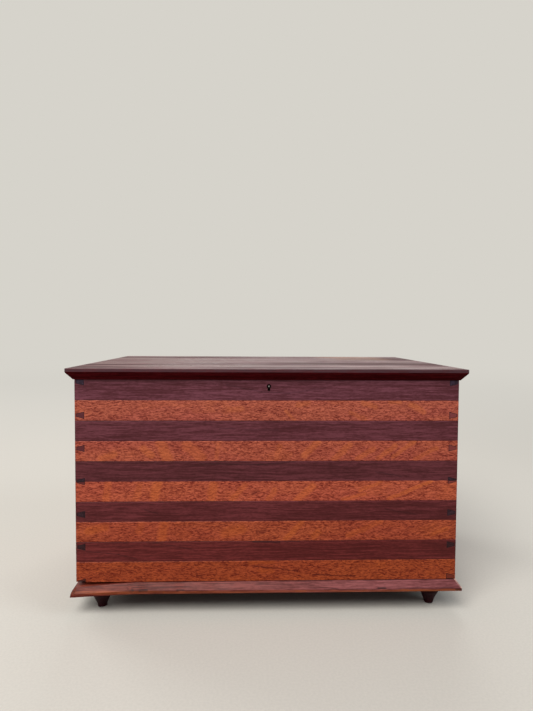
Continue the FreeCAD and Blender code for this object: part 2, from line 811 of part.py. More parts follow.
def make_spring(inside):
    """Make the leaf spring: a quarter turn from the case's end up to the bolt."""
    y = f"({BOLT_Y} - {BOLT_THICKNESS} / 2)"
    centre = [
        f"(Sizes.spring_radius - {inside})",
        f"({y} + {BOLT_THICKNESS})",
        f"({SPINE_BOTTOM} - Sizes.spring_radius)",
    ]
    outer = rod("lock_spring_outer", centre, -Y_AXIS, "Sizes.spring_radius", BOLT_THICKNESS)
    inner = rod("lock_spring_inner", centre, -Y_AXIS,
                "Sizes.spring_radius - Sizes.spring_thickness", BOLT_THICKNESS)
    ring = cut("lock_spring_ring", outer, [inner])
    quarter = block(
        "lock_spring_quarter",
        (f"(-{inside})", centre[0]),
        (y, centre[1]),
        (centre[2], SPINE_BOTTOM),
    )
    return keep(common("lock_spring", ring, quarter))


def make_link_plate():
    """Make the plate under the lid and return its screws and the space it is let into."""
    half = f"({STAPLE_REACH} + Sizes.lock_screw_land)"
    plate_top = f"({RIM} + Sizes.lock_plate_thickness)"
    plate = block("link_plate_flat", (f"(-{half})", half), (LOCK_FRONT, FRONT_INSIDE),
                  (RIM, plate_top))
    staples = staple_blocks("staple", "0", STAPLE_BOTTOM, RIM)
    eyes = block(
        "staple_eyes",
        (f"(-{half})", half),
        (f"({BOLT_Y} - Sizes.eye_width / 2)", f"({BOLT_Y} + Sizes.eye_width / 2)"),
        (EYE_BOTTOM, EYE_TOP),
    )
    blank = fuse("link_plate_blank", [plate, *staples])

    screws = []
    spaces = []
    for side, sign in (("left", -1), ("right", 1)):
        x = f"{sign} * ({STAPLE_REACH} + Sizes.lock_screw_land / 2)"
        made, space = screw(f"link_screw_{side}", [x, BOLT_Y, RIM], Z_AXIS, X_AXIS)
        screws.append(made)
        spaces.append(space)
    keep(cut("link_plate", blank, [eyes, *spaces]))
    return screws, [plate, *spaces]


def build_chest():
    """Make every sub-part of the chest."""
    nails = make_base_nails()
    feet = make_feet()
    keep(group("base_nails", nails))

    left_centre = f"({LEFT} + Sizes.hinge_inset)"
    right_centre = f"({RIGHT} - Sizes.hinge_inset)"
    hinges = [hinge("left", left_centre), hinge("right", right_centre)]
    lock_screws, lock_spaces = make_lock()
    link_screws, link_spaces = make_link_plate()

    keep(group("hinge_pins", [made[0] for made in hinges]))
    case_hinge_screws = [item for made in hinges for item in made[1]["case"]]
    lid_hinge_screws = [item for made in hinges for item in made[1]["lid"]]
    keep(group("case_screws", case_hinge_screws + lock_screws))
    keep(group("lid_screws", lid_hinge_screws + link_screws))

    front_tailed = tailed_board("front", FRONT)
    back_tailed = tailed_board("back", BACK_INSIDE)
    case_hinge_spaces = [item for made in hinges for item in made[2]]
    front_board = cut("front_board", front_tailed, lock_spaces + nails)
    back_board = cut("back_board", back_tailed, case_hinge_spaces + nails)
    make_strips("front", front_board)
    make_strips("back", back_board)
    for side, left_face in (("left", LEFT), ("right", f"({RIGHT} - Sizes.wall)")):
        board = end_board(side, left_face, front_tailed, back_tailed, nails)
        make_strips(side, board)

    lid_hinge_spaces = [item for made in hinges for item in made[3]]
    make_lid(lid_hinge_spaces + link_spaces)
    make_base(feet + nails)


def write_parts():
    """Check the document and write each sub-part to its own file."""
    doc.recompute()
    for item in doc.Objects:
        if "Invalid" in item.State or "Error" in item.State:
            raise RuntimeError(f"{item.Label} did not compute: {item.State}")
    for item in sub_parts:
        if item.Shape.isNull() or not item.Shape.isValid() or not item.Shape.Solids:
            raise RuntimeError(f"{item.Label} has no valid solid")
    os.makedirs("parts", exist_ok=True)
    for item in sub_parts:
        item.Shape.exportStep(f"parts/{item.Label}.step")
        count = len(item.Shape.Solids)
        print(f"{item.Label}: {count} solid, {item.Shape.Volume:.1f} cubic mm")
    print(f"{len(sub_parts)} nodes")


build_chest()
write_parts()
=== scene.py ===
"""The finished looks of a small laminated chest, dressed on its measured frame."""

import json
import logging
import math
import random
from collections.abc import Callable
from dataclasses import dataclass, field, replace
from enum import Enum

import bmesh
import bpy
from mathutils import Matrix, Vector, noise

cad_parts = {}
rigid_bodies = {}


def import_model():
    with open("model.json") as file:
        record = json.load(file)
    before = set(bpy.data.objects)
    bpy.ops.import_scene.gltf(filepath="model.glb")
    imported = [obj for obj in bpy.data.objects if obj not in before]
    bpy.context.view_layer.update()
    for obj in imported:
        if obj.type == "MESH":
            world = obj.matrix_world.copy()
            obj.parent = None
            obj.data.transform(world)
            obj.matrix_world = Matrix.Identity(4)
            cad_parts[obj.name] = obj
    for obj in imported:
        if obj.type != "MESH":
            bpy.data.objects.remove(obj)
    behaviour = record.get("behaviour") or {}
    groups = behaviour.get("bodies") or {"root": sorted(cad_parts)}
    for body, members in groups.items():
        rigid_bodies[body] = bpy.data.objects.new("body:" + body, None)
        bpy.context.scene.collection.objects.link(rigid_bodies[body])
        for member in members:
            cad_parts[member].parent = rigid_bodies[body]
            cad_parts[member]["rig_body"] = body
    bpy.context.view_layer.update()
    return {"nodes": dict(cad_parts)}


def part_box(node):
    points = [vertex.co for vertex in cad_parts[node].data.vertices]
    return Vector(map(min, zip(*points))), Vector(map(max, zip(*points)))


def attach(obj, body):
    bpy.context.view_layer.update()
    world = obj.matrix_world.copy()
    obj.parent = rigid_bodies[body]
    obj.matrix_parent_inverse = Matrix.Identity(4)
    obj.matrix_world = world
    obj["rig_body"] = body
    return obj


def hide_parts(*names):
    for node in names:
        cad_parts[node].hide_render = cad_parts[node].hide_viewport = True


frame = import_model()

MM = 0.001
LOG = logging.getLogger("chest")
NODES = frame["nodes"]

Colour = tuple[float, float, float]
Socket = bpy.types.NodeSocket
Shape = bmesh.types.BMesh


def chip(red: int, green: int, blue: int) -> Colour:
    """Turn an eight-bit paint chip into light values.

    Args:
        red: Red from 0 to 255.
        green: Green from 0 to 255.
        blue: Blue from 0 to 255.

    Returns:
        The same colour as linear red, green and blue.
    """
    curve = [((part / 255 + 0.055) / 1.055) ** 2.4 for part in (red, green, blue)]
    return (curve[0], curve[1], curve[2])


def between(first: Colour, second: Colour, share: float) -> Colour:
    """Return the colour that lies a share of the way from the first to the second."""
    red, green, blue = (a + (b - a) * share for a, b in zip(first, second))
    return (red, green, blue)


# Materials


class Graph:
    """One material's node tree, grown by short calls."""

    def __init__(self, name: str) -> None:
        """Start an empty tree.

        Args:
            name: The material's name.
        """
        self.material = bpy.data.materials.new(name)
        self.material.use_nodes = True
        self.tree = self.material.node_tree
        self.tree.nodes.clear()

    def node(self, kind: str, inputs: dict | None = None, **settings: object) -> bpy.types.Node:
        """Add a node.

        Args:
            kind: Blender's name for the node.
            inputs: What goes into its sockets, by name or number.
            settings: The node's own options.

        Returns:
            The new node.
        """
        node = self.tree.nodes.new(kind)
        for option, choice in settings.items():
            setattr(node, option, choice)
        for key, value in (inputs or {}).items():
            self.feed(node.inputs[key], value)
        return node

    def feed(self, socket: Socket, value: object) -> None:
        """Link a socket to another, or give it a fixed value.

        Args:
            socket: The input to fill.
            value: An output socket, a number, a vector or a colour.
        """
        if isinstance(value, bpy.types.NodeSocket):
            self.tree.links.new(value, socket)
        elif socket.type == "RGBA" and len(value) == 3:
            socket.default_value = (*value, 1.0)
        else:
            socket.default_value = value

    def read(self, attribute: str, output: str = "Fac") -> Socket:
        """Read a value that is stored on the mesh."""
        node = self.node("ShaderNodeAttribute", attribute_name=attribute)
        return node.outputs[output]

    def place(self) -> Socket:
        """Return the object's own coordinates, in metres."""
        return self.node("ShaderNodeTexCoord").outputs["Object"]

    def math(self, operation: str, first: object, second: object = 0.0, clamp: bool = False) -> Socket:
        """Work out one sum.

        Args:
            operation: Blender's name for the operation.
            first: The first number or socket.
            second: The second number or socket.
            clamp: Whether the result is kept from 0 to 1.

        Returns:
            The result's socket.
        """
        inputs = {0: first, 1: second}
        return self.node("ShaderNodeMath", inputs, operation=operation, use_clamp=clamp).outputs[0]

    def vector(self, operation: str, first: object, second: object = (0.0, 0.0, 0.0)) -> Socket:
        """Work out one vector operation and return its vector."""
        inputs = {0: first, 1: second}
        return self.node("ShaderNodeVectorMath", inputs, operation=operation).outputs["Vector"]

    def measure(self, operation: str, first: object, second: object = (0.0, 0.0, 0.0)) -> Socket:
        """Work out one vector operation and return its number."""
        inputs = {0: first, 1: second}
        return self.node("ShaderNodeVectorMath", inputs, operation=operation).outputs["Value"]

    def span(self, value: object, low: float, high: float, start: float = 0.0, end: float = 1.0) -> Socket:
        """Ease a value from one range into another.

        Args:
            value: The number to read.
            low: Where the input range begins.
            high: Where the input range ends.
            start: The result at low.
            end: The result at high.

        Returns:
            The eased number, held at both ends.
        """
        inputs = {"Value": value, "From Min": low, "From Max": high, "To Min": start, "To Max": end}
        node = self.node("ShaderNodeMapRange", inputs, interpolation_type="SMOOTHSTEP")
        return node.outputs["Result"]

    def tint(self, factor: object, first: object, second: object, mode: str = "MIX") -> Socket:
        """Mix two colours.

        Args:
            factor: How much of the second colour is taken.
            first: The first colour.
            second: The second colour.
            mode: Blender's name for the way they mix.

        Returns:
            The mixed colour.
        """
        inputs = {0: factor, 6: first, 7: second}
        node = self.node("ShaderNodeMix", inputs, data_type="RGBA", blend_type=mode)
        return node.outputs[2]

    def cloud(self, vector: object, detail: float = 2.0, roughness: float = 0.5, twist: float = 0.0) -> Socket:
        """Return a soft noise of about one feature per unit.

        Args:
            vector: Where the noise is read.
            detail: How many finer layers it has.
            roughness: How strong the finer layers are.
            twist: How far it is distorted.

        Returns:
            The noise, mostly from 0.3 to 0.7.
        """
        inputs = {"Vector": vector, "Scale": 1.0, "Detail": detail, "Roughness": roughness}
        return self.node("ShaderNodeTexNoise", {**inputs, "Distortion": twist}).outputs["Fac"]

    def stretch(self, vector: object, scale: Colour) -> Socket:
        """Scale coordinates, by features per metre along each of them."""
        return self.vector("MULTIPLY", vector, scale)

    def drift(self, vector: Socket, scale: float, reach: float) -> Socket:
        """Push coordinates about by a slow noise.

        Args:
            vector: The coordinates.
            scale: Features of the push per metre.
            reach: How far it pushes at most, in metres.

        Returns:
            The pushed coordinates.
        """
        inputs = {"Vector": vector, "Scale": scale, "Detail": 1.0}
        colour = self.node("ShaderNodeTexNoise", inputs).outputs["Color"]
        push = self.vector("SUBTRACT", colour, (0.5, 0.5, 0.5))
        return self.vector("ADD", vector, self.vector("MULTIPLY", push, (2 * reach,) * 3))

    def stroke(self, where: Socket, mark: "Mark") -> Socket:
        """Return how much of a mark shows at a place.

        Args:
            where: The place, in the object's coordinates.
            mark: The mark.

        Returns:
            The mark's strength on its line, fading to 0 past its half width.
        """
        run = mark.end - mark.start
        offset = self.vector("SUBTRACT", where, mark.start)
        share = self.math("DIVIDE", self.measure("DOT_PRODUCT", offset, run), run.length_squared, True)
        step = self.node("ShaderNodeVectorMath", {0: run, "Scale": share}, operation="SCALE")
        away = self.measure("DISTANCE", offset, step.outputs["Vector"])
        return self.span(away, mark.half_width * mark.core, mark.half_width, mark.strength, 0.0)

    def finish(self, inputs: dict) -> bpy.types.Material:
        """Close the tree with one surface shader.

        Args:
            inputs: What goes into the shader's sockets.

        Returns:
            The finished material.
        """
        shader = self.node("ShaderNodeBsdfPrincipled", inputs)
        out = self.node("ShaderNodeOutputMaterial")
        self.tree.links.new(shader.outputs["BSDF"], out.inputs["Surface"])
        return self.material


class Effect(Enum):
    """What a mark does to the wood."""

    RAY = "ray"
    DARK = "dark"
    PALE = "pale"
    SAPWOOD = "sapwood"
    # Painted sheen: a pale stroke that stands in for light reflected off an edge.
    RUB = "rub"


@dataclass(frozen=True)
class Mark:
    """A soft stroke of figure, stain, wear, painted shade or painted sheen on a surface.

    Attributes:
        effect: What the stroke does.
        start: One end of its middle line.
        end: The other end.
        half_width: Where it has faded out, from the middle line.
        strength: How much it shows on the middle line.
        core: The share of the half width that shows in full.
    """

    effect: Effect
    start: Vector
    end: Vector
    half_width: float
    strength: float = 1.0
    core: float = 0.35


@dataclass(frozen=True)
class RayFleckWood:
    """Orange-red quarter-sawn wood, covered with short wavy ray flecks.

    Attributes:
        fleck_length: Length of a fleck along the grain.
        fleck_height: Height of a fleck across the grain.
        dark: What the ground between flecks does to the strip's own tone.
        bright: What a fleck does to it.
        ray: What a broad smooth ray patch does to it.
        end: What end grain does to it.
        roughness: Roughness of the worn wax.
        shine: How strongly the wax mirrors.
    """

    fleck_length: float = 6.4 * MM
    fleck_height: float = 1.5 * MM
    dark: Colour = (0.34, 0.10, 0.11)
    bright: Colour = (1.54, 1.98, 1.92)
    ray: Colour = (1.66, 2.20, 1.40)
    end: Colour = (0.34, 0.38, 0.8)
    roughness: float = 0.46
    shine: float = 0.2

    def material(self, name: str, marks: list[Mark], wild: float) -> bpy.types.Material:
        """Build the wood.

        Args:
            name: The material's name.
            marks: Ray patches and dark strokes, placed one by one.
            wild: How much of the wood's own unplaced ray patches shows.

        Returns:
            The material.
        """
        graph = Graph(name)
        wood = graph.drift(graph.read("wood", "Vector"), 120.0, 1.3 * MM)
        cell = (1 / self.fleck_length, 1 / self.fleck_height, 1 / self.fleck_height)
        level = graph.cloud(graph.stretch(wood, cell), 1.2, 0.5, 0.5)
        off_line = graph.math("ABSOLUTE", graph.math("SUBTRACT", level, 0.5))
        net = graph.span(off_line, 0.0, 0.1)
        coarse_cell = (1.5 * cell[0], 1.7 * cell[1], 1.7 * cell[2])
        coarse = graph.cloud(graph.stretch(wood, coarse_cell), 1.0, 0.5, 0.6)
        slow_cell = (0.5 * cell[0], 0.45 * cell[1], 0.45 * cell[2])
        slow = graph.cloud(graph.stretch(wood, slow_cell), 1.0, 0.5, 0.9)
        dash = graph.cloud(graph.stretch(wood, (210.0, 1150.0, 1150.0)), 1.0, 0.5, 0.3)
        blend = graph.math("ADD", graph.math("MULTIPLY", coarse, 0.6), graph.math("MULTIPLY", slow, 0.4))
        blend = graph.span(blend, 0.4, 0.58)
        fleck = graph.math("ADD", graph.math("MULTIPLY", blend, 0.4), graph.math("MULTIPLY", net, 0.6))

        place = graph.drift(graph.place(), 130.0, 1.6 * MM)
        broad = graph.cloud(graph.stretch(wood, (26.0, 48.0, 40.0)), 1.5, 0.5, 1.2)
        patch = graph.span(broad, 0.56, 0.66, 0.0, wild)
        shadow = 0.0
        for mark in marks:
            if mark.effect is Effect.RAY:
                patch = graph.math("MAXIMUM", patch, graph.stroke(place, mark))
            else:
                shadow = graph.math("MAXIMUM", shadow, graph.stroke(place, mark))

        tone = graph.read("tone", "Vector")
        colour = graph.tint(fleck, self.dark, self.bright)
        calm = graph.tint(fleck, between(self.ray, self.dark, 0.45), self.ray)
        colour = graph.tint(graph.math("MULTIPLY", patch, 0.85), colour, calm)
        warm = graph.cloud(graph.stretch(wood, (9.0, 30.0, 30.0)), 2.0)
        colour = graph.tint(graph.span(warm, 0.35, 0.65), colour, graph.tint(1.0, colour, (1.07, 1.16, 1.0), "MULTIPLY"))
        dark_dash = graph.span(dash, 0.57, 0.67, 0.0, 0.55)
        colour = graph.tint(dark_dash, colour, between(self.dark, (0.4, 0.25, 0.35), 0.6))
        seam = graph.read("seam")
        colour = graph.tint(shadow, colour, (0.34, 0.24, 0.3))
        ends = graph.read("end_grain")
        rings = graph.cloud(graph.stretch(wood, (40.0, 900.0, 900.0)), 2.0)
        end = graph.tint(rings, between(self.end, (0.0, 0.0, 0.0), 0.4), self.end)
        colour = graph.tint(graph.math("MULTIPLY", ends, 0.94), colour, end)
        colour = graph.tint(seam, colour, (0.08, 0.12, 0.2))
        colour = graph.tint(1.0, tone, colour, "MULTIPLY")

        height = graph.math("SUBTRACT", fleck, graph.math("MULTIPLY", dark_dash, 1.4))
        height = graph.math("SUBTRACT", height, graph.math("MULTIPLY", shadow, 4.0))
        bump = {"Height": height, "Distance": 0.03 * MM, "Strength": 0.55}
        polish = graph.span(fleck, 0.0, 1.0, self.roughness + 0.07, self.roughness - 0.05)
        return graph.finish({
            "Base Color": colour,
            "Roughness": graph.math("ADD", polish, graph.math("MULTIPLY", ends, 0.2)),
            "Specular IOR Level": self.shine,
            "Normal": graph.node("ShaderNodeBump", bump).outputs["Normal"],
        })


@dataclass(frozen=True)
class LongGrainWood:
    """Dark walnut: long streaks, growth rings round the tree's heart and fine pores.

    Attributes:
        ring_pitch: Spacing of the growth rings.
        ring_contrast: How strongly the rings show.
        streak_contrast: How strongly the long streaks show.
        pore: How dark the pores are.
        pale: The colour of sapwood and of pale marks.
        painted_sheen: The colour of painted sheen, a pale stroke that stands in for light reflected off an edge.
        painted_shade_cast: Painted shade multiplied into the board's tone; (1, 1, 1) paints none.
        end: What end grain does to the tone.
        hair_contrast: How strongly the finest lines show.
        mottle: How strongly short flecks break the lines up.
        band_width: Width of the slow bands of colour and gloss.
        band_contrast: How strongly they show.
        wander: How far the hand-placed strokes bend out of line.
        roughness: Roughness of the worn wax.
        shine: How strongly the wax mirrors.
        relief: Depth of the grain in metres.
    """

    ring_pitch: float = 2.6 * MM
    ring_contrast: float = 0.15
    streak_contrast: float = 0.2
    hair_contrast: float = 0.22
    mottle: float = 0.12
    band_width: float = 30 * MM
    band_contrast: float = 0.06
    wander: float = 0.3 * MM
    pore: float = 0.35
    pale: Colour = chip(152, 100, 70)
    painted_sheen: Colour = chip(66, 42, 49)
    painted_shade_cast: Colour = (1.0, 1.0, 1.0)
    end: Colour = (0.2, 0.54, 0.76)
    roughness: float = 0.45
    shine: float = 0.2
    relief: float = 0.03 * MM

    def material(self, name: str, marks: list[Mark]) -> bpy.types.Material:
        """Build the wood.

        Args:
            name: The material's name.
            marks: Dark and pale strokes, placed one by one.

        Returns:
            The material.
        """
        graph = Graph(name)
        wood = graph.drift(graph.read("wood", "Vector"), 11.0, 2.4 * MM)
        wood = graph.drift(wood, 60.0, 0.35 * MM)
        across = graph.stretch(wood, (0.0, 1.0, 1.0))
        radius = graph.measure("LENGTH", across)
        along = graph.node("ShaderNodeSeparateXYZ", {0: wood}).outputs["X"]
        inputs = {"X": graph.math("DIVIDE", radius, self.ring_pitch), "Y": graph.math("MULTIPLY", along, 2.5)}
        rings = graph.cloud(graph.node("ShaderNodeCombineXYZ", inputs).outputs["Vector"], 2.6, 0.55)
        streak = graph.cloud(graph.stretch(wood, (9.0, 420.0, 420.0)), 2.5, 0.6)
        hair = graph.cloud(graph.stretch(wood, (45.0, 760.0, 760.0)), 1.5, 0.6)
        slow = 1 / self.band_width
        bands = graph.span(graph.cloud(graph.stretch(wood, (3.0, slow, slow)), 3.0, 0.6), 0.36, 0.64)
        pores = graph.cloud(graph.stretch(wood, (120.0, 1900.0, 1900.0)), 1.0, 0.5)
        pores = graph.span(pores, 0.58, 0.7, 0.0, self.pore)

        tone = graph.read("tone", "Vector")
        ring_light = graph.span(rings, 0.32, 0.68, 1 - self.ring_contrast, 1 + self.ring_contrast)
        streak_light = graph.span(streak, 0.3, 0.7, 1 - self.streak_contrast, 1 + self.streak_contrast)
        hair_light = graph.span(hair, 0.3, 0.7, 1 - self.hair_contrast, 1 + self.hair_contrast)
        light = graph.math("MULTIPLY", graph.math("MULTIPLY", ring_light, streak_light), hair_light)
        light = graph.math("MULTIPLY", light, graph.math("SUBTRACT", 1.0, pores))
        short = graph.cloud(graph.stretch(wood, (230.0, 620.0, 620.0)), 1.5, 0.6)
        light = graph.math("MULTIPLY", light, graph.span(short, 0.3, 0.7, 1 - self.mottle, 1 + self.mottle))
        band_light = graph.span(bands, 0.0, 1.0, 1 - self.band_contrast, 1 + self.band_contrast)
        light = graph.math("MULTIPLY", light, band_light)
        shade = graph.tint(graph.span(light, 0.5, 1.5), (0.55, 0.36, 0.36), (1.45, 1.64, 1.64))
        colour = graph.tint(1.0, tone, shade, "MULTIPLY")
        # Painted shade: the tone is multiplied by a darker, redder colour where the finish asks for it.
        colour = graph.tint(1.0, colour, self.painted_shade_cast, "MULTIPLY")

        near = graph.drift(graph.place(), 90.0, 0.9 * MM)
        place = graph.drift(near, 16.0, self.wander)
        painted_sheen_breakup = graph.span(graph.cloud(graph.stretch(near, (60.0, 240.0, 240.0)), 3.0, 0.6), 0.3, 0.6, 0.35, 1.0)
        feather = graph.cloud(graph.stretch(wood, (7.0, 170.0, 170.0)), 2.5, 0.6)
        feather = graph.span(feather, 0.36, 0.6, 0.15, 1.0)
        sapwood = 0.0
        for mark in marks:
            if mark.effect is Effect.SAPWOOD:
                sapwood = graph.math("MAXIMUM", sapwood, graph.stroke(place, mark))
        if sapwood != 0.0:
            streaks = graph.cloud(graph.stretch(wood, (4.0, 130.0, 130.0)), 4.0, 0.66)
            ragged = graph.math("MULTIPLY", graph.math("SUBTRACT", streaks, 0.5), 2.4)
            sapwood = graph.math("ADD", sapwood, ragged)
            sapwood = graph.span(sapwood, 0.34, 0.95, 0.0, 0.88)
            shaded = between(self.pale, (0.0, 0.0, 0.0), 0.62)
            sunlit = between(self.pale, (1.0, 1.0, 1.0), 0.06)
            pale = graph.tint(graph.span(light, 0.55, 1.45), shaded, sunlit)
            colour = graph.tint(sapwood, colour, pale)
        for mark in marks:
            if mark.effect is Effect.SAPWOOD:
                continue
            # Painted sheen: a greyish pale stroke, broken up by a noise, that stands in for reflected light.
            if mark.effect is Effect.RUB:
                stroke = graph.math("MULTIPLY", graph.stroke(near, mark), painted_sheen_breakup)
                colour = graph.tint(stroke, colour, self.painted_sheen)
                continue
            stroke = graph.stroke(place, mark)
            if mark.effect is Effect.PALE:
                stroke = graph.math("MULTIPLY", stroke, feather)
                pale = graph.tint(graph.span(light, 0.5, 1.5), between(self.pale, (0.0, 0.0, 0.0), 0.3), self.pale)
                colour = graph.tint(stroke, colour, pale)
            else:
                # Dark strokes: streaks, stains and knocks, and on the base also painted shade along the top of the
                # bevel.
                dark = graph.tint(1.0, colour, (0.3, 0.3, 0.36), "MULTIPLY")
                colour = graph.tint(stroke, colour, dark)
        ends = graph.read("end_grain")
        end = graph.tint(1.0, colour, self.end, "MULTIPLY")
        colour = graph.tint(graph.math("MULTIPLY", ends, 0.9), colour, end)
        seam = graph.tint(1.0, colour, (0.25, 0.3, 0.35), "MULTIPLY")
        colour = graph.tint(graph.read("seam"), colour, seam)

        height = graph.math("SUBTRACT", light, graph.math("MULTIPLY", pores, 2.0))
        bump = {"Height": height, "Distance": self.relief, "Strength": 0.5}
        rub = graph.cloud(graph.stretch(graph.place(), (18.0, 18.0, 18.0)), 3.0, 0.6)
        polish = graph.span(rub, 0.3, 0.7, self.roughness - 0.05, self.roughness + 0.08)
        dull = graph.math("MULTIPLY", graph.math("SUBTRACT", 1.0, bands), self.band_contrast)
        polish = graph.math("ADD", polish, dull)
        return graph.finish({
            "Base Color": colour,
            "Roughness": graph.math("ADD", polish, graph.math("MULTIPLY", ends, 0.2)),
            "Specular IOR Level": self.shine,
            "Normal": graph.node("ShaderNodeBump", bump).outputs["Normal"],
        })


@dataclass(frozen=True)
class AgedMetal:
    """Metal that is bright where it is worn and dull elsewhere.

    Attributes:
        name: The material's name.
        bright: Colour of the metal worn bright.
        dull: Colour of the tarnish.
        tarnish: The share of the surface that is dull.
        polished: Roughness where it is rubbed.
        matt: Roughness where it is dull.
        painted_shade_centre: The middle of a patch painted black as shade, if there is one.
        painted_shade_reach: How far the painted shade reaches from there.
    """

    name: str
    bright: Colour
    dull: Colour
    tarnish: float
    polished: float
    matt: float
    painted_shade_centre: Vector | None = None
    painted_shade_reach: float = 8.0 * MM

    def material(self) -> bpy.types.Material:
        """Build the metal."""
        graph = Graph(self.name)
        place = graph.place()
        blotch = graph.cloud(graph.stretch(place, (130.0,) * 3), 4.0, 0.6, 0.6)
        speck = graph.cloud(graph.stretch(place, (1500.0,) * 3), 2.0, 0.6)
        lines = graph.cloud(graph.stretch(place, (320.0, 5200.0, 5200.0)), 2.0, 0.6)
        middle = 0.62 - 0.24 * self.tarnish
        dull = graph.span(blotch, middle - 0.13, middle + 0.13)
        dull = graph.math("MAXIMUM", dull, graph.span(speck, 0.6, 0.72, 0.0, 0.6))
        colour = graph.tint(dull, self.bright, self.dull)
        # Painted shade: black round the given middle, standing in for the dark inside of the keyhole.
        if self.painted_shade_centre is not None:
            away = graph.measure("DISTANCE", place, self.painted_shade_centre)
            painted_shade_share = graph.span(away, 0.5 * self.painted_shade_reach, self.painted_shade_reach, 0.95, 0.0)
            colour = graph.tint(painted_shade_share, colour, chip(14, 11, 9))
            dull = graph.math("MAXIMUM", dull, painted_shade_share)
        height = graph.math("SUBTRACT", lines, graph.math("MULTIPLY", dull, 0.3))
        bump = {"Height": height, "Distance": 0.01 * MM, "Strength": 0.3}
        return graph.finish({
            "Base Color": colour,
            "Metallic": 1.0,
            "Roughness": graph.span(dull, 0.0, 1.0, self.polished, self.matt),
            "Normal": graph.node("ShaderNodeBump", bump).outputs["Normal"],
        })


# Shaping


def refined(node: str) -> Shape:
    """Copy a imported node's mesh, merged and with its flat faces whole.

    Args:
        node: The node's name.

    Returns:
        The copy.
    """
    shape = bmesh.new()
    shape.from_mesh(NODES[node].data)
    bmesh.ops.remove_doubles(shape, verts=shape.verts, dist=0.002 * MM)
    bmesh.ops.dissolve_limit(
        shape, angle_limit=math.radians(0.4), verts=shape.verts[:], edges=shape.edges[:]
    )
    return shape


def soften(shape: Shape, width: float, segments: int, chosen: Callable[[bmesh.types.BMEdge], bool]) -> None:
    """Round the sharp edges of a shape.

    Args:
        shape: The shape.
        width: How far the rounding reaches from the edge.
        segments: How many faces the rounding has.
        chosen: Says which of the sharp edges are rounded.
    """
    sharp = [
        edge for edge in shape.edges
        if edge.is_manifold and edge.calc_face_angle(0.0) > math.radians(28) and chosen(edge)
    ]
    bmesh.ops.bevel(
        shape, geom=sharp, offset=width, offset_type="OFFSET", segments=segments, profile=0.5,
        affect="EDGES", clamp_overlap=True, material=-1, miter_outer="SHARP",
    )


def cut_at(shape: Shape, axis: int, place: float) -> None:
    """Cut a shape's faces across one axis, at one place."""
    normal = Vector((0.0, 0.0, 0.0))
    normal[axis] = 1.0
    geometry = shape.verts[:] + shape.edges[:] + shape.faces[:]
    bmesh.ops.bisect_plane(shape, geom=geometry, dist=0.02 * MM, plane_co=normal * place, plane_no=normal)


def slice_along(shape: Shape, axis: int, step: float) -> None:
    """Cut a shape's faces into bands of about one width.

    Args:
        shape: The shape.
        axis: The coordinate that the cuts step along.
        step: The bands' width.
    """
    places = [vert.co[axis] for vert in shape.verts]
    low, high = min(places), max(places)
    count = max(1, round((high - low) / step))
    for index in range(1, count):
        cut_at(shape, axis, low + (high - low) * index / count)


def dent(shape: Shape, centre: Vector, reach: Vector, push: Vector) -> None:
    """Push the points round a place, most in the middle.

    Args:
        shape: The shape.
        centre: The middle of the dent.
        reach: How far it reaches along each axis.
        push: The move in the middle.
    """
    for vert in shape.verts:
        offset = vert.co - centre
        away = math.sqrt(sum((offset[axis] / reach[axis]) ** 2 for axis in range(3)))
        if away < 1:
            vert.co += push * (1 - away * away) ** 2


def saw(shape: Shape, grain: Vector, heart: Vector, tone: Colour) -> None:
    """Store where a board lay in its tree, its tone and its end grain.

    Args:
        shape: The board.
        grain: Direction of the grain.
        heart: What is added to the board's own place to get its place in the tree.
        tone: The board's own colour.
    """
    across = Vector((0.0, 0.0, 1.0)) if abs(grain.z) < 0.5 else Vector((1.0, 0.0, 0.0))
    through = grain.cross(across)
    wood = shape.verts.layers.float_vector.new("wood")
    tint = shape.verts.layers.float_vector.new("tone")
    for vert in shape.verts:
        place = Vector((vert.co.dot(grain), vert.co.dot(across), vert.co.dot(through)))
        vert[wood] = place + heart
        vert[tint] = Vector(tone)
    ends = shape.faces.layers.float.new("end_grain")
    for face in shape.faces:
        face[ends] = 1.0 if abs(face.normal.dot(grain)) > 0.7 else 0.0


def outline(shape: Shape, grain: Vector, width: float, stop: float) -> None:
    """Mark a narrow dark joint line round each patch of end grain.

    Args:
        shape: The board.
        grain: Direction of the grain.
        width: The line's width.
        stop: How far out from the middle the patches reach, before the band of painted highlight at the corner.
    """
    cut_at(shape, 0, -stop)
    cut_at(shape, 0, stop)
    seam = shape.faces.layers.float.new("seam")
    ends = [
        face for face in shape.faces
        if abs(face.normal.dot(grain)) > 0.99 and abs(face.calc_center_median().x) < stop
    ]
    rims = bmesh.ops.inset_individual(shape, faces=ends, thickness=width, use_even_offset=True)["faces"]
    for face in rims:
        face[seam] = 1.0


def publish(shape: Shape, node: str, *finishes: bpy.types.Material) -> bpy.types.Object:
    """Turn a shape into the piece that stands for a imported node.

    Args:
        shape: The finished shape, which is freed.
        node: The node that it replaces.
        finishes: Its finishes, in the order of its faces' material numbers.

    Returns:
        The new piece.
    """
    mesh = bpy.data.meshes.new(f"{node}_finished")
    shape.to_mesh(mesh)
    shape.free()
    mesh.shade_smooth()
    mesh.set_sharp_from_angle(angle=math.radians(32))
    for finish in finishes:
        mesh.materials.append(finish)
    piece = bpy.data.objects.new(f"{node}_finished", mesh)
    bpy.context.scene.collection.objects.link(piece)
    weighted = piece.modifiers.new("flat_faces_stay_flat", "WEIGHTED_NORMAL")
    weighted.keep_sharp = True
    packed = NODES[node]
    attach(piece, packed["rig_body"])
    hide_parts(node)
    LOG.info("%s: %d faces", piece.name, len(mesh.polygons))
    return piece


# The chest


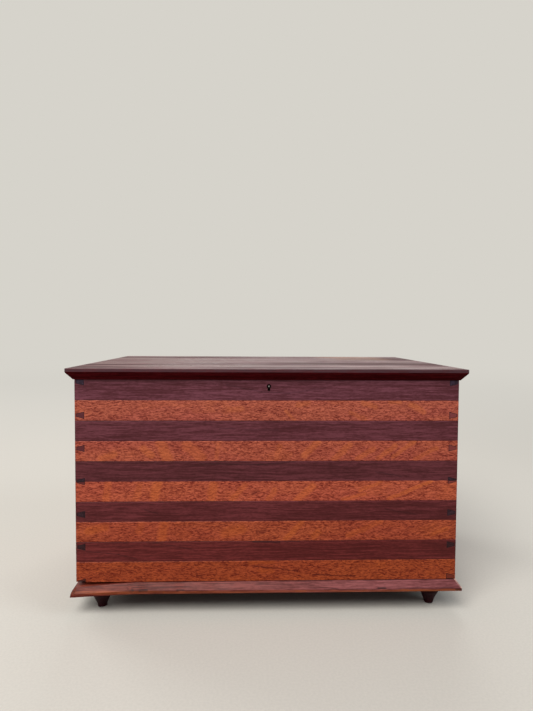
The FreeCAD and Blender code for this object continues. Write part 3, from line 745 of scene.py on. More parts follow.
def stroke(effect: Effect, strip: int, run: tuple[float, float], rise: tuple[float, float],
           half_width: float, strength: float = 1.0) -> tuple[int, Mark]:
    """Place a mark on the front of a strip.

    Args:
        effect: What the mark does.
        strip: The strip's number, 1 at the top.
        run: Where the mark starts and ends along the front, in millimetres from the middle.
        rise: How high it starts and ends, as shares of the strip's height.
        half_width: Its half width in millimetres.
        strength: How much it shows.

    Returns:
        The strip's number and the mark.
    """
    low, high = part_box(f"front_strip_{strip:02d}")
    ends = [Vector((x * MM, low.y, low.z + (high.z - low.z) * share)) for x, share in zip(run, rise)]
    return strip, Mark(effect, ends[0], ends[1], half_width * MM, strength)


@dataclass
class LaminatedCase:
    """The four walls, each glued up from ten strips and dovetailed at the corners.

    Attributes:
        arris: Rounding of the strips' own edges.
        corner: Rounding of the case's outer corners.
        joint_line: Width of the dark line round the pins.
        painted_sheen: How far in from the corners the pins' end grain is kept pale, a painted highlight down the
            case's outer corners.
        board: Thickness of the walls.
        pin_drop: How much lower the lowest left pin was cut than its neighbours.
        light_top: Tone of the highest light strip.
        light_bottom: Tone of the lowest light strip.
        dark_top: Tone of the highest dark strip.
        dark_bottom: Tone of the lowest dark strip.
        dark_values: How light each dark strip is beside its neighbours.
        light_values: How light each light strip is beside its neighbours.
        seed: Where the strips come from in their trees.
    """

    arris: float = 0.12 * MM
    corner: float = 0.55 * MM
    joint_line: float = 0.5 * MM
    painted_sheen: float = 1.7 * MM
    board: float = 10 * MM
    pin_drop: float = 2.5 * MM
    light_top: Colour = chip(150, 66, 54)
    light_bottom: Colour = chip(138, 53, 30)
    dark_top: Colour = chip(92, 46, 55)
    dark_bottom: Colour = chip(93, 33, 32)
    light_values: tuple[float, ...] = (1.0, 1.06, 1.2, 1.1, 1.04)
    dark_values: tuple[float, ...] = (1.02, 0.9, 0.76, 0.92, 1.03)
    seed: int = 7
    light: RayFleckWood = field(default_factory=RayFleckWood)
    dark: LongGrainWood = field(default_factory=LongGrainWood)

    def figure(self) -> list[tuple[int, Mark]]:
        """Return the ray patches and dark streaks that stand out on the front."""
        ray, dark = Effect.RAY, Effect.DARK
        return [
            stroke(ray, 2, (-42, -29), (0.55, 0.6), 4.5, 0.6),
            stroke(ray, 2, (18, 27), (0.5, 0.05), 2.5, 0.7),
            stroke(ray, 2, (31, 41), (0.8, 0.85), 4.5, 0.7),
            stroke(ray, 2, (100, 113), (0.9, 0.72), 4.5, 0.8),
            stroke(ray, 2, (87, 102), (0.4, 0.08), 4.0, 0.7),
            stroke(ray, 2, (129, 140), (0.93, 0.93), 3.0, 0.7),
            stroke(ray, 2, (152, 165), (0.8, 0.45), 4.6, 0.9),
            stroke(ray, 4, (-175, -163), (0.12, 0.35), 6.0, 0.8),
            stroke(ray, 4, (-132, -124), (0.65, 0.3), 5.5, 0.8),
            stroke(ray, 4, (-114, -106), (0.95, 0.1), 8.0, 0.95),
            stroke(ray, 4, (-86, -72), (0.8, 0.2), 9.0, 0.9),
            stroke(ray, 4, (-55, -53), (0.15, 0.85), 3.0, 0.6),
            stroke(ray, 4, (8, 12), (0.15, 0.75), 4.5, 0.6),
            stroke(ray, 4, (38, 52), (0.3, 0.95), 5.5, 0.95),
            stroke(ray, 4, (70, 86), (0.1, 0.8), 5.0, 0.9),
            stroke(ray, 4, (95, 112), (0.12, 0.6), 4.2, 1.0),
            stroke(ray, 4, (117, 135), (0.12, 0.75), 4.0, 1.0),
            stroke(ray, 4, (133, 156), (0.2, 0.98), 3.4, 1.0),
            stroke(ray, 4, (157, 180), (0.08, 0.65), 3.6, 0.9),
            stroke(ray, 6, (-171, -169), (0.1, 0.95), 5.5, 0.8),
            stroke(ray, 6, (-140, -136), (0.1, 0.8), 5.0, 0.5),
            stroke(ray, 6, (-121, -117), (0.2, 0.95), 7.0, 0.95),
            stroke(ray, 6, (-61, -58), (0.0, 0.8), 7.0, 0.9),
            stroke(ray, 6, (-39, -25), (0.1, 0.8), 4.5, 0.8),
            stroke(dark, 6, (-17, -10), (0.35, 0.5), 2.2, 0.6),
            stroke(ray, 6, (0, 7), (0.08, 0.55), 4.5, 0.7),
            stroke(ray, 6, (30, 47), (0.05, 0.72), 5.5, 0.95),
            stroke(ray, 6, (98, 121), (0.52, 0.95), 2.8, 1.0),
            stroke(ray, 6, (80, 103), (0.08, 0.35), 3.2, 1.0),
            stroke(ray, 6, (129, 174), (0.08, 0.95), 3.0, 1.0),
            stroke(ray, 8, (-190, -172), (0.55, 0.75), 6.0, 0.9),
            stroke(ray, 8, (-137, -134), (0.5, 0.95), 5.5, 0.6),
            stroke(ray, 8, (-113, -110), (0.1, 0.95), 7.0, 0.95),
            stroke(ray, 8, (-46, -28), (0.4, 0.6), 8.0, 0.75),
            stroke(dark, 8, (-11, -3), (0.45, 0.5), 3.5, 0.45),
            stroke(ray, 8, (20, 36), (0.15, 0.95), 4.5, 0.85),
            stroke(ray, 8, (49, 53), (0.2, 0.45), 5.0, 0.8),
            stroke(ray, 8, (86, 121), (0.25, 0.95), 4.5, 0.75),
            stroke(ray, 8, (176, 193), (0.3, 0.55), 3.5, 0.7),
            stroke(ray, 10, (-20, 5), (0.92, 0.9), 3.2, 0.8),
            stroke(ray, 10, (-8, 4), (0.5, 0.5), 4.0, 0.7),
            stroke(dark, 10, (-14, 32), (0.72, 0.48), 0.9, 0.85),
            stroke(dark, 10, (48, 94), (0.27, 0.2), 1.0, 0.85),
            stroke(dark, 10, (-76, -70), (0.3, 0.3), 1.4, 0.8),
            stroke(dark, 1, (-45, -8), (0.75, 0.42), 1.1, 0.35),
            stroke(dark, 1, (-8, 22), (0.42, 0.36), 1.1, 0.35),
            stroke(dark, 1, (22, 60), (0.36, 0.62), 1.1, 0.3),
            stroke(dark, 3, (-52, -36), (0.6, 0.6), 1.0, 0.5),
            stroke(dark, 3, (-29, 10), (0.57, 0.55), 1.0, 0.4),
            stroke(dark, 5, (-72, -11), (0.88, 0.82), 1.1, 0.5),
            stroke(dark, 5, (-11, 28), (0.82, 0.97), 1.1, 0.5),
            stroke(dark, 5, (115, 142), (0.45, 0.2), 1.0, 0.5),
            stroke(dark, 7, (-131, -117), (0.6, 0.4), 1.0, 0.5),
            stroke(dark, 7, (125, 160), (0.58, 0.3), 1.0, 0.4),
            stroke(dark, 9, (-192, -158), (0.55, 0.38), 1.1, 0.55),
            stroke(dark, 9, (-158, -140), (0.38, 0.15), 1.1, 0.45),
            stroke(dark, 9, (-121, -78), (0.95, 0.57), 1.0, 0.45),
            stroke(dark, 9, (-16, 12), (0.97, 0.94), 1.4, 0.95),
            stroke(dark, 9, (12, 34), (0.94, 0.98), 0.9, 0.7),
        ]

    def tone(self, number: int) -> Colour:
        """Return the tone of a strip by its number, 1 at the top."""
        pair = (number - 1) // 2
        if number % 2:
            colour, value = between(self.dark_top, self.dark_bottom, pair / 4), self.dark_values[pair]
        else:
            colour, value = between(self.light_top, self.light_bottom, pair / 4), self.light_values[pair]
        return between((0.0, 0.0, 0.0), colour, value)

    def build(self) -> None:
        """Build the forty strips."""
        random.seed(self.seed)
        light = self.light.material("light_strip_wood_waxed", [], 0.9)
        # Painted light: the right end's pins show paler, bluer end grain, standing in for cool light from the
        # right.
        light_strip_painted_cool_light = RayFleckWood(end=(0.72, 0.84, 1.3)).material("light_strip_wood_painted_cool_light", [], 0.9)
        dark = self.dark.material("dark_strip_wood_waxed", [])
        marks = self.figure()
        for side in ("front", "back", "left", "right"):
            grain = Vector((1.0, 0.0, 0.0)) if side in ("front", "back") else Vector((0.0, 1.0, 0.0))
            for number in range(1, 11):
                node = f"{side}_strip_{number:02d}"
                pale_pins = light_strip_painted_cool_light if side == "right" else light
                material = dark if number % 2 else pale_pins
                if side == "front":
                    own = [mark for strip, mark in marks if strip == number]
                    name = f"{node}_wood"
                    material = self.dark.material(name, own) if number % 2 else self.light.material(name, own, 0.25)
                self.strip(node, grain, self.tone(number), material)

    def strip(self, node: str, grain: Vector, tone: Colour, material: bpy.types.Material) -> None:
        """Build one strip.

        Args:
            node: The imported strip.
            grain: Direction of its grain.
            tone: Its own colour.
            material: Its wood.
        """
        low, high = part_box(node)
        shape = refined(node)
        soften(shape, self.corner, 3, self.is_case_corner)
        soften(shape, self.arris, 1, lambda edge: edge.calc_length() > 0.5 * MM)
        middle = (low + high) / 2
        up = random.uniform(-14, 14) * MM
        depth = random.uniform(28, 60) * MM
        heart = Vector((random.uniform(0, 3), up - middle.z, depth))
        if node in ("front_strip_10", "left_strip_10"):
            self.thin_pin(shape, low)
        corner_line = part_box("front_strip_02")[1].x - self.painted_sheen
        if abs(grain.y) > 0.5:
            outline(shape, grain, self.joint_line, corner_line)
        if node == "left_strip_10":
            self.splinter(shape, low)
        saw(shape, grain, heart, tone)
        # Painted highlight: end grain near the case's outer corners is darkened only faintly, so a pale line runs
        # down each corner.
        if abs(grain.y) > 0.5:
            ends = shape.faces.layers.float["end_grain"]
            for face in shape.faces:
                if abs(face.calc_center_median().x) > corner_line:
                    face[ends] *= 0.4
        publish(shape, node, material)

    def thin_pin(self, shape: Shape, low: Vector) -> None:
        """Bring the joint above the lowest left pin down, where the pin was cut thin.

        Args:
            shape: One of the two strips that meet there.
            low: Its lowest corner.
        """
        for vert in shape.verts:
            offset = vert.co - low
            in_corner = offset.x < self.board + 0.5 * MM and offset.y < self.board + 0.5 * MM
            if in_corner and 2.5 * MM < offset.z < 7.5 * MM:
                vert.co.z -= self.pin_drop

    def splinter(self, shape: Shape, low: Vector) -> None:
        """Break away the underside of the lowest left pin, where the base has pulled off it.

        Args:
            shape: The lowest strip of the left end.
            low: Its lowest corner.
        """
        geometry = shape.verts[:] + shape.edges[:] + shape.faces[:]
        behind = Vector((0.0, low.y + 7 * MM, 0.0))
        bmesh.ops.bisect_plane(shape, geom=geometry, dist=0.02 * MM, plane_co=behind, plane_no=(0.0, 1.0, 0.0))
        for vert in shape.verts:
            if vert.co.y < low.y + 1 * MM and vert.co.z < low.z + 0.8 * MM:
                inward = min(1.0, (vert.co.x - low.x) / (10 * MM))
                vert.co.z += (0.4 + 1.0 * inward) * MM

    def is_case_corner(self, edge: bmesh.types.BMEdge) -> bool:
        """Say whether an edge lies on one of the case's four outer corners."""
        low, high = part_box("front_strip_02")
        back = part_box("back_strip_02")[1]
        for vert in edge.verts:
            at_side = min(abs(vert.co.x - low.x), abs(vert.co.x - high.x)) < 0.01 * MM
            at_end = min(abs(vert.co.y - low.y), abs(vert.co.y - back.y)) < 0.01 * MM
            if not (at_side and at_end):
                return False
        return True


@dataclass
class LidBoard:
    """The lid: one board with a thin rounded edge and a bevel underneath.

    Attributes:
        mesh_step: Size of the mesh on its faces.
        wear: How far the edges are worn back.
        corner: Rounding of the two front corners, seen from above.
        tone: Its own colour.
        wood: Its finish on top and at the edges.
        under: Its finish underneath, which was never waxed, with its colour darkened and reddened as painted shade.
    """

    mesh_step: float = 5.0 * MM
    wear: float = 0.22 * MM
    corner: float = 2.6 * MM
    tone: Colour = chip(74, 24, 28)
    wood: LongGrainWood = field(
        default_factory=lambda: LongGrainWood(
            ring_pitch=3.4 * MM, ring_contrast=0.2, streak_contrast=0.3, hair_contrast=0.3,
            band_width=34 * MM, band_contrast=0.42, wander=5 * MM, roughness=0.3, shine=0.22,
            relief=0.06 * MM, end=(0.6, 0.6, 0.64),
        )
    )
    under: LongGrainWood = field(
        default_factory=lambda: LongGrainWood(
            ring_pitch=3.4 * MM, ring_contrast=0.2, streak_contrast=0.2, roughness=0.6, shine=0.03,
            # Painted shade: the underside is darkened and reddened.
            painted_shade_cast=(1.2, 0.5, 0.6), end=(0.5, 0.45, 0.45),
        )
    )

    def marks(self) -> list[Mark]:
        """Return the pale sapwood at the back of the top and the painted sheen on the front and side edges."""
        low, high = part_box("lid_board")
        back, top = high.y, high.z
        edge = top - 1.6 * MM
        sap = Effect.SAPWOOD
        return [
            Mark(sap, Vector((0.106, back - 0.026, top)), Vector((0.154, back - 0.032, top)), 55 * MM, 1.0, 0.05),
            Mark(sap, Vector((0.120, back - 0.072, top)), Vector((0.160, back - 0.078, top)), 44 * MM, 0.95, 0.05),
            # Painted sheen: greyish strokes along the front and side edges, standing in for the pale room reflected
            # in them.
            Mark(Effect.RUB, Vector((low.x, low.y, edge)), Vector((high.x, low.y, edge)), 2.8 * MM, 0.75, 0.6),
            Mark(Effect.RUB, Vector((low.x, low.y, edge)), Vector((low.x, back, edge)), 2.8 * MM, 0.75, 0.6),
            Mark(Effect.RUB, Vector((high.x, low.y, edge)), Vector((high.x, back, edge)), 2.8 * MM, 0.75, 0.6),
        ]

    def build(self) -> None:
        """Build the lid."""
        low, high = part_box("lid_board")
        shape = refined("lid_board")
        soften(shape, 0.35 * MM, 2, lambda edge: edge.calc_length() > 20 * MM)
        slice_along(shape, 0, self.mesh_step)
        slice_along(shape, 1, self.mesh_step)
        for share in (0.15, 0.35, 0.6, 1.0):
            cut_at(shape, 0, low.x + share * self.corner)
            cut_at(shape, 0, high.x - share * self.corner)
            cut_at(shape, 1, low.y + share * self.corner)
        edge_band = 1.2 * MM
        for vert in shape.verts:
            place = vert.co
            worn = self.wear * (0.5 + 0.5 * noise.noise(place * 55))
            if place.x < low.x + edge_band:
                place.x += worn
            if place.x > high.x - edge_band:
                place.x -= worn
            if place.y < low.y + edge_band:
                place.y += worn
            if place.z > high.z - 0.05 * MM:
                place.z -= 0.09 * MM * (0.5 + 0.5 * noise.noise(place * 14))
            self.round_corner(place, low, high)
        saw(shape, Vector((1.0, 0.0, 0.0)), Vector((1.7, -high.z - 0.05, 0.02)), self.tone)
        for face in shape.faces:
            # Faces that face down take the underneath finish, whose colour holds painted shade.
            face.material_index = 1 if face.normal.z < -0.2 else 0
        top = self.wood.material("lid_wood_waxed", self.marks())
        publish(shape, "lid_board", top, self.under.material("lid_wood_underneath_painted_shade", []))

    def round_corner(self, place: Vector, low: Vector, high: Vector) -> None:
        """Bring a point of the two front corners in, on to their rounding.

        Args:
            place: The point, which is moved.
            low: The lid's lowest corner.
            high: Its highest corner.
        """
        for middle, side in ((low.x + self.corner, -1), (high.x - self.corner, 1)):
            out = (place.x - middle) * side
            ahead = low.y + self.corner - place.y
            away = math.hypot(out, ahead)
            if out > 0 and ahead > 0 and away > self.corner:
                place.x = middle + side * out * self.corner / away
                place.y = low.y + self.corner - ahead * self.corner / away


@dataclass
class BaseBoard:
    """The base: one board with its upper edges bevelled, sprung at its left front corner.

    Attributes:
        mesh_step: Size of the mesh on its faces.
        sag: How far the left front corner has dropped.
        sag_length: How far along the front the drop reaches.
        sag_depth: How far back it reaches.
        crush: How far the bevel's upper edge is pressed down along the front.
        corner_crush: How much further it is pressed down at the sprung corner.
        tone: Its own colour at the left end.
        tone_right_painted_light: Its colour at the right end: its own tone with painted cool light, pinker and
            greyer.
        wood: Its finish.
    """

    mesh_step: float = 3.5 * MM
    sag: float = 3.2 * MM
    sag_length: float = 70 * MM
    sag_depth: float = 60 * MM
    crush: float = 0.5 * MM
    corner_crush: float = 1.8 * MM
    tone: Colour = chip(102, 40, 26)
    tone_right_painted_light: Colour = chip(116, 60, 62)
    wood: LongGrainWood = field(
        default_factory=lambda: LongGrainWood(
            ring_pitch=2.2 * MM, ring_contrast=0.14, streak_contrast=0.3, hair_contrast=0.32,
            # The pale pinkish white of the painted highlight on the right hip.
            roughness=0.48, shine=0.22, pale=chip(172, 90, 44), painted_sheen=chip(200, 164, 150),
            end=(0.55, 0.5, 0.48),
        )
    )

    def build(self) -> None:
        """Build the base."""
        low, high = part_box("base_board")
        shape = refined("base_board")
        soften(shape, 0.3 * MM, 2, lambda edge: edge.calc_length() > 20 * MM)
        slice_along(shape, 0, self.mesh_step)
        slice_along(shape, 1, 2 * self.mesh_step)
        for vert in shape.verts:
            place = vert.co
            worn = 0.25 * MM * (0.5 + 0.5 * noise.noise(place * 70))
            if place.y < low.y + 1.0 * MM:
                place.y += worn
        self.damage(shape, low)
        self.press(shape, low, high)
        for vert in shape.verts:
            along = max(0.0, 1 - (vert.co.x - low.x) / self.sag_length)
            back = max(0.0, 1 - (vert.co.y - low.y) / self.sag_depth)
            vert.co.z -= self.sag * along ** 1.2 * min(1.0, back * 1.6)
        heart = Vector((0.6, -high.z - 0.035, 0.03))
        saw(shape, Vector((1.0, 0.0, 0.0)), heart, self.tone)
        tint = shape.verts.layers.float_vector["tone"]
        # The tone runs from the left end to the right end, where painted cool light makes it pinker and greyer.
        for vert in shape.verts:
            share = (vert.co.x - low.x) / (high.x - low.x)
            vert[tint] = Vector(between(self.tone, self.tone_right_painted_light, share))
        publish(shape, "base_board", self.wood.material("base_wood_worn", self.marks(low, high)))

    def press(self, shape: Shape, low: Vector, high: Vector) -> None:
        """Press the bevel's upper edge down along the front, most at the left.

        Args:
            shape: The base.
            low: Its lowest corner.
            high: Its highest corner.
        """
        for vert in shape.verts:
            along = max(0.0, 1 - (vert.co.x - low.x) / self.sag_length)
            back = max(0.0, 1 - (vert.co.y - low.y) / (16 * MM))
            up = max(0.0, (vert.co.z - low.z - 3.5 * MM) / (high.z - low.z - 3.5 * MM))
            vert.co.z -= (self.crush + self.corner_crush * along) * up * min(1.0, 1.6 * back)

    def damage(self, shape: Shape, low: Vector) -> None:
        """Chip the front edge where it has been knocked.

        Args:
            shape: The base.
            low: Its lowest corner.
        """
        edge_top = low.z + 3.5 * MM
        knocks = ((-145, 1.3, 4), (-131, 0.9, 7), (-92, 0.8, 6), (-12, 0.4, 5), (31, 0.4, 4), (121, 0.6, 7))
        for x, deep, wide in knocks:
            centre = Vector((x * MM, low.y, edge_top))
            dent(shape, centre, Vector((wide * MM, 4 * MM, 3 * MM)), Vector((0.0, deep * MM, -0.4 * deep * MM)))
        corner = Vector((low.x, low.y, edge_top))
        dent(shape, corner, Vector((6, 7, 5)) * MM, Vector((0.7, 1.4, -0.4)) * MM)

    def marks(self, low: Vector, high: Vector) -> list[Mark]:
        """Return the stains, scratches and pale worn places of the front edge, the painted shade along the top of
        the bevel and the painted highlight on the right hip.

        Args:
            low: The base's lowest corner.
            high: The base's highest corner.

        Returns:
            The marks.
        """
        edge_top = low.z + 3.5 * MM
        dark, pale = Effect.DARK, Effect.PALE
        bevel = 5.5 * MM
        joint_left, joint_right = (Vector((x, low.y + bevel, high.z)) for x in (low.x, high.x))
        hip_top = Vector((high.x - bevel, low.y + bevel, high.z))
        hip_bottom = Vector((high.x, low.y, edge_top))

        def edge(effect: Effect, left: float, right: float, up: float, half_width: float, strength: float) -> Mark:
            """Place a mark along the front edge, in millimetres."""
            start, end = (Vector((x * MM, low.y + 0.6 * MM, edge_top + up * MM)) for x in (left, right))
            return Mark(effect, start, end, half_width * MM, strength)

        return [
            edge(pale, -208, -110, -1.8, 2.6, 0.45),
            edge(pale, -110, 40, -2.4, 2.2, 0.75),
            edge(pale, 30, 150, -2.5, 2.2, 0.75),
            edge(pale, 150, 206, -2.6, 2.0, 0.75),
            # Painted shade: a dark line in the gap where the case sits on the top of the bevel.
            Mark(dark, joint_left, joint_right, 1.3 * MM, 0.75),
            # Painted highlight: a pale streak down the right hip of the bevel, standing in for light caught on the
            # arris.
            Mark(Effect.RUB, hip_top, hip_bottom, 1.8 * MM, 1.0, 0.5),
            edge(dark, 60, 200, 0.0, 0.8, 0.6),
            edge(dark, 202, 207, -1.8, 1.9, 0.9),
            edge(pale, -208, -203, 1.5, 3.0, 0.5),
            # Painted shade: a faint dark band along the top of the bevel at the left end, next to the case.
            edge(dark, -200, -110, 5.5, 5.0, 0.3),
            edge(dark, -146, -143, 0.6, 2.2, 0.9),
            edge(dark, -135, -128, 0.2, 2.0, 0.85),
            edge(dark, -96, -89, 0.5, 1.6, 0.8),
            edge(dark, -207, -204, -1.0, 2.4, 0.8),
            edge(dark, 118, 126, 0.6, 1.2, 0.8),
        ]


@dataclass
class TurnedFeet:
    """The four turned feet, each a pad, a bulb, a neck and a collar.

    Attributes:
        pad_radius: Radius of the pad that stands on the table.
        pad_round: Rounding of the pad's lower edge.
        pad_height: Height of the pad's straight side.
        taper: How the cove between pad and bulb bends, 1 for a straight cone.
        bulb_radius: Largest radius of the bulb.
        bulb_height: Height of the bulb.
        neck_radius: Radius of the neck.
        neck_height: Height of the neck's flare.
        collar_radius: Radius of the collar under the base.
        collar_height: Height of the collar.
        facets: Faces round the foot.
        tone: Colour of the feet.
    """

    pad_radius: float = 5.1 * MM
    pad_round: float = 1.2 * MM
    pad_height: float = 1.8 * MM
    taper: float = 1.25
    bulb_radius: float = 11.5 * MM
    bulb_height: float = 7.0 * MM
    neck_radius: float = 8.5 * MM
    neck_height: float = 2.0 * MM
    collar_radius: float = 10.5 * MM
    collar_height: float = 3.0 * MM
    facets: int = 72
    tone: Colour = chip(50, 13, 20)
    wood: LongGrainWood = field(
        default_factory=lambda: LongGrainWood(ring_pitch=1.8 * MM, roughness=0.5, shine=0.12, end=(0.6, 0.6, 0.7))
    )

    def outline(self, height: float) -> list[Vector]:
        """Return the half outline of a foot, from the middle of its pad to its top.

        Args:
            height: The foot's height.

        Returns:
            Points in the XZ plane.
        """
        collar_bottom = height - self.collar_height
        bulb_top = collar_bottom - self.neck_height
        bulb_bottom = bulb_top - self.bulb_height
        shoulder = (self.bulb_radius + self.neck_radius) / 2
        points = [(0.0, 0.0), (self.pad_radius - self.pad_round, 0.0)]
        for index in range(1, 5):
            angle = math.radians(90 * index / 4)
            points.append((
                self.pad_radius - self.pad_round + self.pad_round * math.sin(angle),
                self.pad_round * (1 - math.cos(angle)),
            ))
        points.append((self.pad_radius, self.pad_height))
        for index in range(1, 9):
            share = index / 8
            rise = self.pad_height + (bulb_bottom - self.pad_height) * share
            points.append((self.pad_radius + (shoulder - self.pad_radius) * share ** self.taper, rise))
        for index in range(1, 15):
            share = index / 14
            swell = math.sin(math.pi * share)
            radius = shoulder + (self.neck_radius - shoulder) * share
            radius += (self.bulb_radius - (shoulder + self.neck_radius) / 2) * swell
            points.append((radius, bulb_bottom + self.bulb_height * share))
        for index in range(1, 5):
            angle = math.radians(90 * index / 4)
            radius = self.neck_radius + (self.collar_radius - self.neck_radius) * (1 - math.cos(angle))
            points.append((radius, bulb_top + self.neck_height * math.sin(angle)))
        points.append((self.collar_radius, height - 0.4 * MM))
        points.append((self.collar_radius - 0.4 * MM, height))
        return [Vector((radius, 0.0, rise)) for radius, rise in points]

    def build(self) -> None:
        """Turn the four feet."""
        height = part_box("base_board")[0].z
        material = self.wood.material("foot_wood_dull", [])
        for index, node in enumerate(
            ("foot_front_left", "foot_front_right", "foot_back_left", "foot_back_right")
        ):
            low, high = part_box(node)
            axis = Vector(((low.x + high.x) / 2, (low.y + high.y) / 2, 0.0))
            shape = bmesh.new()
            verts = [shape.verts.new(point) for point in self.outline(height)]
            edges = [shape.edges.new(pair) for pair in zip(verts, verts[1:])]
            bmesh.ops.spin(
                shape, geom=verts + edges, cent=(0.0, 0.0, 0.0), axis=(0.0, 0.0, 1.0),
                angle=math.tau, steps=self.facets, use_merge=True,
            )
            bmesh.ops.remove_doubles(shape, verts=shape.verts[:], dist=0.002 * MM)
            open_edges = [edge for edge in shape.edges if edge.is_boundary]
            bmesh.ops.holes_fill(shape, edges=open_edges, sides=0)
            bmesh.ops.recalc_face_normals(shape, faces=shape.faces[:])
            for vert in shape.verts:
                shrink = 1 - 0.012 * (0.5 + 0.5 * noise.noise(vert.co * 160 + Vector((index * 9.0, 0.0, 0.0))))
                vert.co.x *= shrink
                vert.co.y *= shrink
            bmesh.ops.translate(shape, verts=shape.verts[:], vec=axis)
            saw(shape, Vector((0.0, 0.0, 1.0)), Vector((index * 0.4, 0.012, 0.02)), self.tone)
            publish(shape, node, material)


@dataclass
class Ironmongery:
    """Hinges, lock, link plate, screws and nails.

    Attributes:
        arris: Rounding of the metal's edges.
    """

    arris: float = 0.12 * MM
    brass: AgedMetal = AgedMetal("hinge_brass_aged", chip(158, 126, 74), chip(108, 82, 48), 0.6, 0.34, 0.5)
    lock: AgedMetal = AgedMetal("lock_brass_filed", chip(168, 134, 78), chip(52, 38, 26), 0.85, 0.3, 0.55)
    # Nearly black brass for the lock case: painted shade seen through the keyhole.
    keyhole_shade_brass: AgedMetal = AgedMetal("lock_case_brass_painted_shade", chip(40, 31, 22), chip(15, 12, 10), 0.9, 0.45, 0.7)
    steel: AgedMetal = AgedMetal("fastener_steel_dark", chip(150, 146, 140), chip(62, 54, 48), 0.5, 0.3, 0.55)
    iron: AgedMetal = AgedMetal("nail_iron_dark", chip(92, 84, 78), chip(58, 38, 28), 0.7, 0.5, 0.75)

    def build(self) -> None:
        """Dress every metal node in the metal that its slot names, the lock case in nearly black brass as painted
        shade.
        """
        low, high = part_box("drill_pin")
        # Painted shade: the lock's brass is painted black round the drill pin, seen through the keyhole.
        lock_with_painted_shade = replace(self.lock, painted_shade_centre=(low + high) / 2)
        metals = {
            "hinge_brass": self.brass.material(),
            "lock_brass": lock_with_painted_shade.material(),
            "fastener_steel": self.steel.material(),
            "nail_iron": self.iron.material(),
        }
        keyhole_shade_finish = self.keyhole_shade_brass.material()
        for node, packed in NODES.items():
            slot = packed.data.materials[0].name
            if slot in metals:
                shape = refined(node)
                soften(shape, self.arris, 2, lambda edge: edge.calc_length() > 0.4 * MM)
                publish(shape, node, keyhole_shade_finish if node == "lock_case" else metals[slot])


# The studio


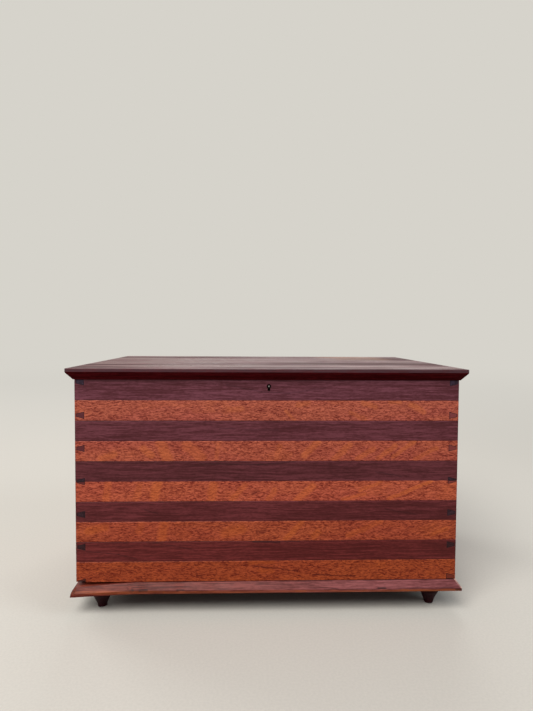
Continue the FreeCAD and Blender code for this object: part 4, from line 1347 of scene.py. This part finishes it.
@dataclass
class Studio:
    """Floor, soft lamps, pale surroundings and the camera.

    Attributes:
        focal_pixels: The lens, in pixels of the 533 by 711 picture.
        picture_height: The picture's height in pixels.
        eye: Where the camera stands.
        yaw: Its turn from straight on, in degrees.
        pitch: How far it looks down, in degrees.
        roll: Its lean, in degrees.
        backdrop: Colour of the surroundings.
        floor: Colour of the floor as it is seen.
        bounce: Colour of the light that the floor throws back on the chest.
        floor_radius: How far the floor reaches.
    """

    focal_pixels: float = 534.0
    picture_height: float = 711.0
    sensor: float = 36.0
    eye: Vector = field(default_factory=lambda: Vector((-0.0210, -0.6977, 0.3015)))
    yaw: float = -1.862
    pitch: float = 2.490
    roll: float = 0.320
    backdrop: Colour = chip(214, 211, 203)
    floor: Colour = chip(200, 195, 186)
    bounce: Colour = chip(84, 60, 50)
    floor_radius: float = 7.0

    def build(self) -> None:
        """Set up the studio."""
        self.camera()
        self.ground()
        self.surroundings()
        aim = Vector((0.0, 0.0, 0.14))
        self.lamp("window", Vector((-0.8, -1.6, 2.0)), aim, (1.6, 1.4), 68.0, (1.0, 0.99, 0.97))
        self.lamp("side_fill", Vector((2.0, -0.9, 1.5)), aim, (1.2, 1.2), 18.0, (0.88, 0.94, 1.0))
        self.lamp("back_window", Vector((0.3, 2.0, 1.9)), aim, (1.6, 1.2), 26.0, (1.0, 1.0, 1.0))
        self.lamp("back_side_fill", Vector((-2.0, 1.7, 1.4)), aim, (1.2, 1.2), 26.0, (1.0, 1.0, 1.0))

    def camera(self) -> None:
        """Stand the camera where the photograph was taken."""
        yaw, pitch, roll = (math.radians(angle) for angle in (self.yaw, self.pitch, self.roll))
        level_right = Vector((math.cos(yaw), math.sin(yaw), 0.0))
        ahead = Vector((-math.sin(yaw), math.cos(yaw), 0.0))
        upright = Vector((0.0, 0.0, 1.0))
        forward = math.cos(pitch) * ahead - math.sin(pitch) * upright
        over = math.sin(pitch) * ahead + math.cos(pitch) * upright
        right = math.cos(roll) * level_right + math.sin(roll) * over
        up = -math.sin(roll) * level_right + math.cos(roll) * over
        data = bpy.data.cameras.new("camera")
        data.sensor_width = self.sensor
        data.lens = self.focal_pixels * self.sensor / self.picture_height
        data.clip_start = 0.01
        data.clip_end = 50.0
        camera = bpy.data.objects.new("camera", data)
        turn = Matrix((right, up, -forward)).transposed()
        camera.matrix_world = Matrix.Translation(self.eye) @ turn.to_4x4()
        bpy.context.scene.collection.objects.link(camera)
        bpy.context.scene.camera = camera

    def ground(self) -> None:
        """Lay the pale floor, which fades into the surroundings far away."""
        shape = bmesh.new()
        bmesh.ops.create_circle(shape, cap_ends=True, segments=96, radius=self.floor_radius)
        mesh = bpy.data.meshes.new("floor")
        shape.to_mesh(mesh)
        shape.free()
        floor = bpy.data.objects.new("floor", mesh)
        bpy.context.scene.collection.objects.link(floor)
        graph = Graph("floor_paper")
        place = graph.place()
        grain = graph.cloud(graph.stretch(place, (420.0,) * 3), 3.0)
        pale = graph.tint(graph.span(grain, 0.3, 0.7), between(self.floor, (0.0, 0.0, 0.0), 0.05), self.floor)
        rays = graph.node("ShaderNodeLightPath").outputs
        mirrored = graph.math("MAXIMUM", rays["Is Glossy Ray"], rays["Is Transmission Ray"])
        seen = graph.math("MAXIMUM", rays["Is Camera Ray"], mirrored)
        colour = graph.tint(seen, self.bounce, pale)
        matt = graph.node("ShaderNodeBsdfDiffuse", {"Color": colour}).outputs["BSDF"]
        glow = graph.node("ShaderNodeEmission", {"Color": self.backdrop}).outputs["Emission"]
        nearness = graph.math("DIVIDE", 1.0, graph.measure("LENGTH", place))
        far = graph.span(nearness, 0.2, 1.3, 1.0, 0.0)
        both = graph.node("ShaderNodeMixShader", {0: far, 1: matt, 2: glow}).outputs["Shader"]
        graph.node("ShaderNodeOutputMaterial", {"Surface": both})
        mesh.materials.append(graph.material)

    def surroundings(self) -> None:
        """Fill the room with a little light and a pale view."""
        world = bpy.data.worlds.new("room")
        world.use_nodes = True
        tree = world.node_tree
        tree.nodes.clear()
        fill = tree.nodes.new("ShaderNodeBackground")
        fill.inputs["Color"].default_value = (0.93, 0.96, 1.0, 1.0)
        fill.inputs["Strength"].default_value = 0.24
        seen = tree.nodes.new("ShaderNodeBackground")
        seen.inputs["Color"].default_value = (*self.backdrop, 1.0)
        rays = tree.nodes.new("ShaderNodeLightPath")
        mirrored = tree.nodes.new("ShaderNodeMath")
        mirrored.operation = "MAXIMUM"
        tree.links.new(rays.outputs["Is Glossy Ray"], mirrored.inputs[0])
        tree.links.new(rays.outputs["Is Transmission Ray"], mirrored.inputs[1])
        direct = tree.nodes.new("ShaderNodeMath")
        direct.operation = "MAXIMUM"
        tree.links.new(rays.outputs["Is Camera Ray"], direct.inputs[0])
        tree.links.new(mirrored.outputs[0], direct.inputs[1])
        choice = tree.nodes.new("ShaderNodeMixShader")
        tree.links.new(direct.outputs[0], choice.inputs[0])
        tree.links.new(fill.outputs[0], choice.inputs[1])
        tree.links.new(seen.outputs[0], choice.inputs[2])
        out = tree.nodes.new("ShaderNodeOutputWorld")
        tree.links.new(choice.outputs[0], out.inputs["Surface"])
        bpy.context.scene.world = world
        bpy.context.scene.view_settings.view_transform = "Standard"

    def lamp(self, name: str, place: Vector, aim: Vector, size: tuple[float, float], power: float,
             colour: Colour) -> None:
        """Hang one soft lamp.

        Args:
            name: The lamp's name.
            place: Where it hangs.
            aim: Where it points.
            size: Its width and height.
            power: Its power in watts.
            colour: Its colour.
        """
        data = bpy.data.lights.new(name, "AREA")
        data.shape = "RECTANGLE"
        data.size, data.size_y = size
        data.energy = power
        data.color = colour
        lamp = bpy.data.objects.new(name, data)
        lamp.location = place
        lamp.rotation_euler = (aim - place).to_track_quat("-Z", "Y").to_euler()
        bpy.context.scene.collection.objects.link(lamp)


def main() -> None:
    """Build the studio and the chest, from the floor up."""
    logging.basicConfig(level=logging.INFO, format="%(name)s: %(message)s")
    Studio().build()
    TurnedFeet().build()
    BaseBoard().build()
    LaminatedCase().build()
    LidBoard().build()
    Ironmongery().build()


if __name__ == "__main__":
    main()
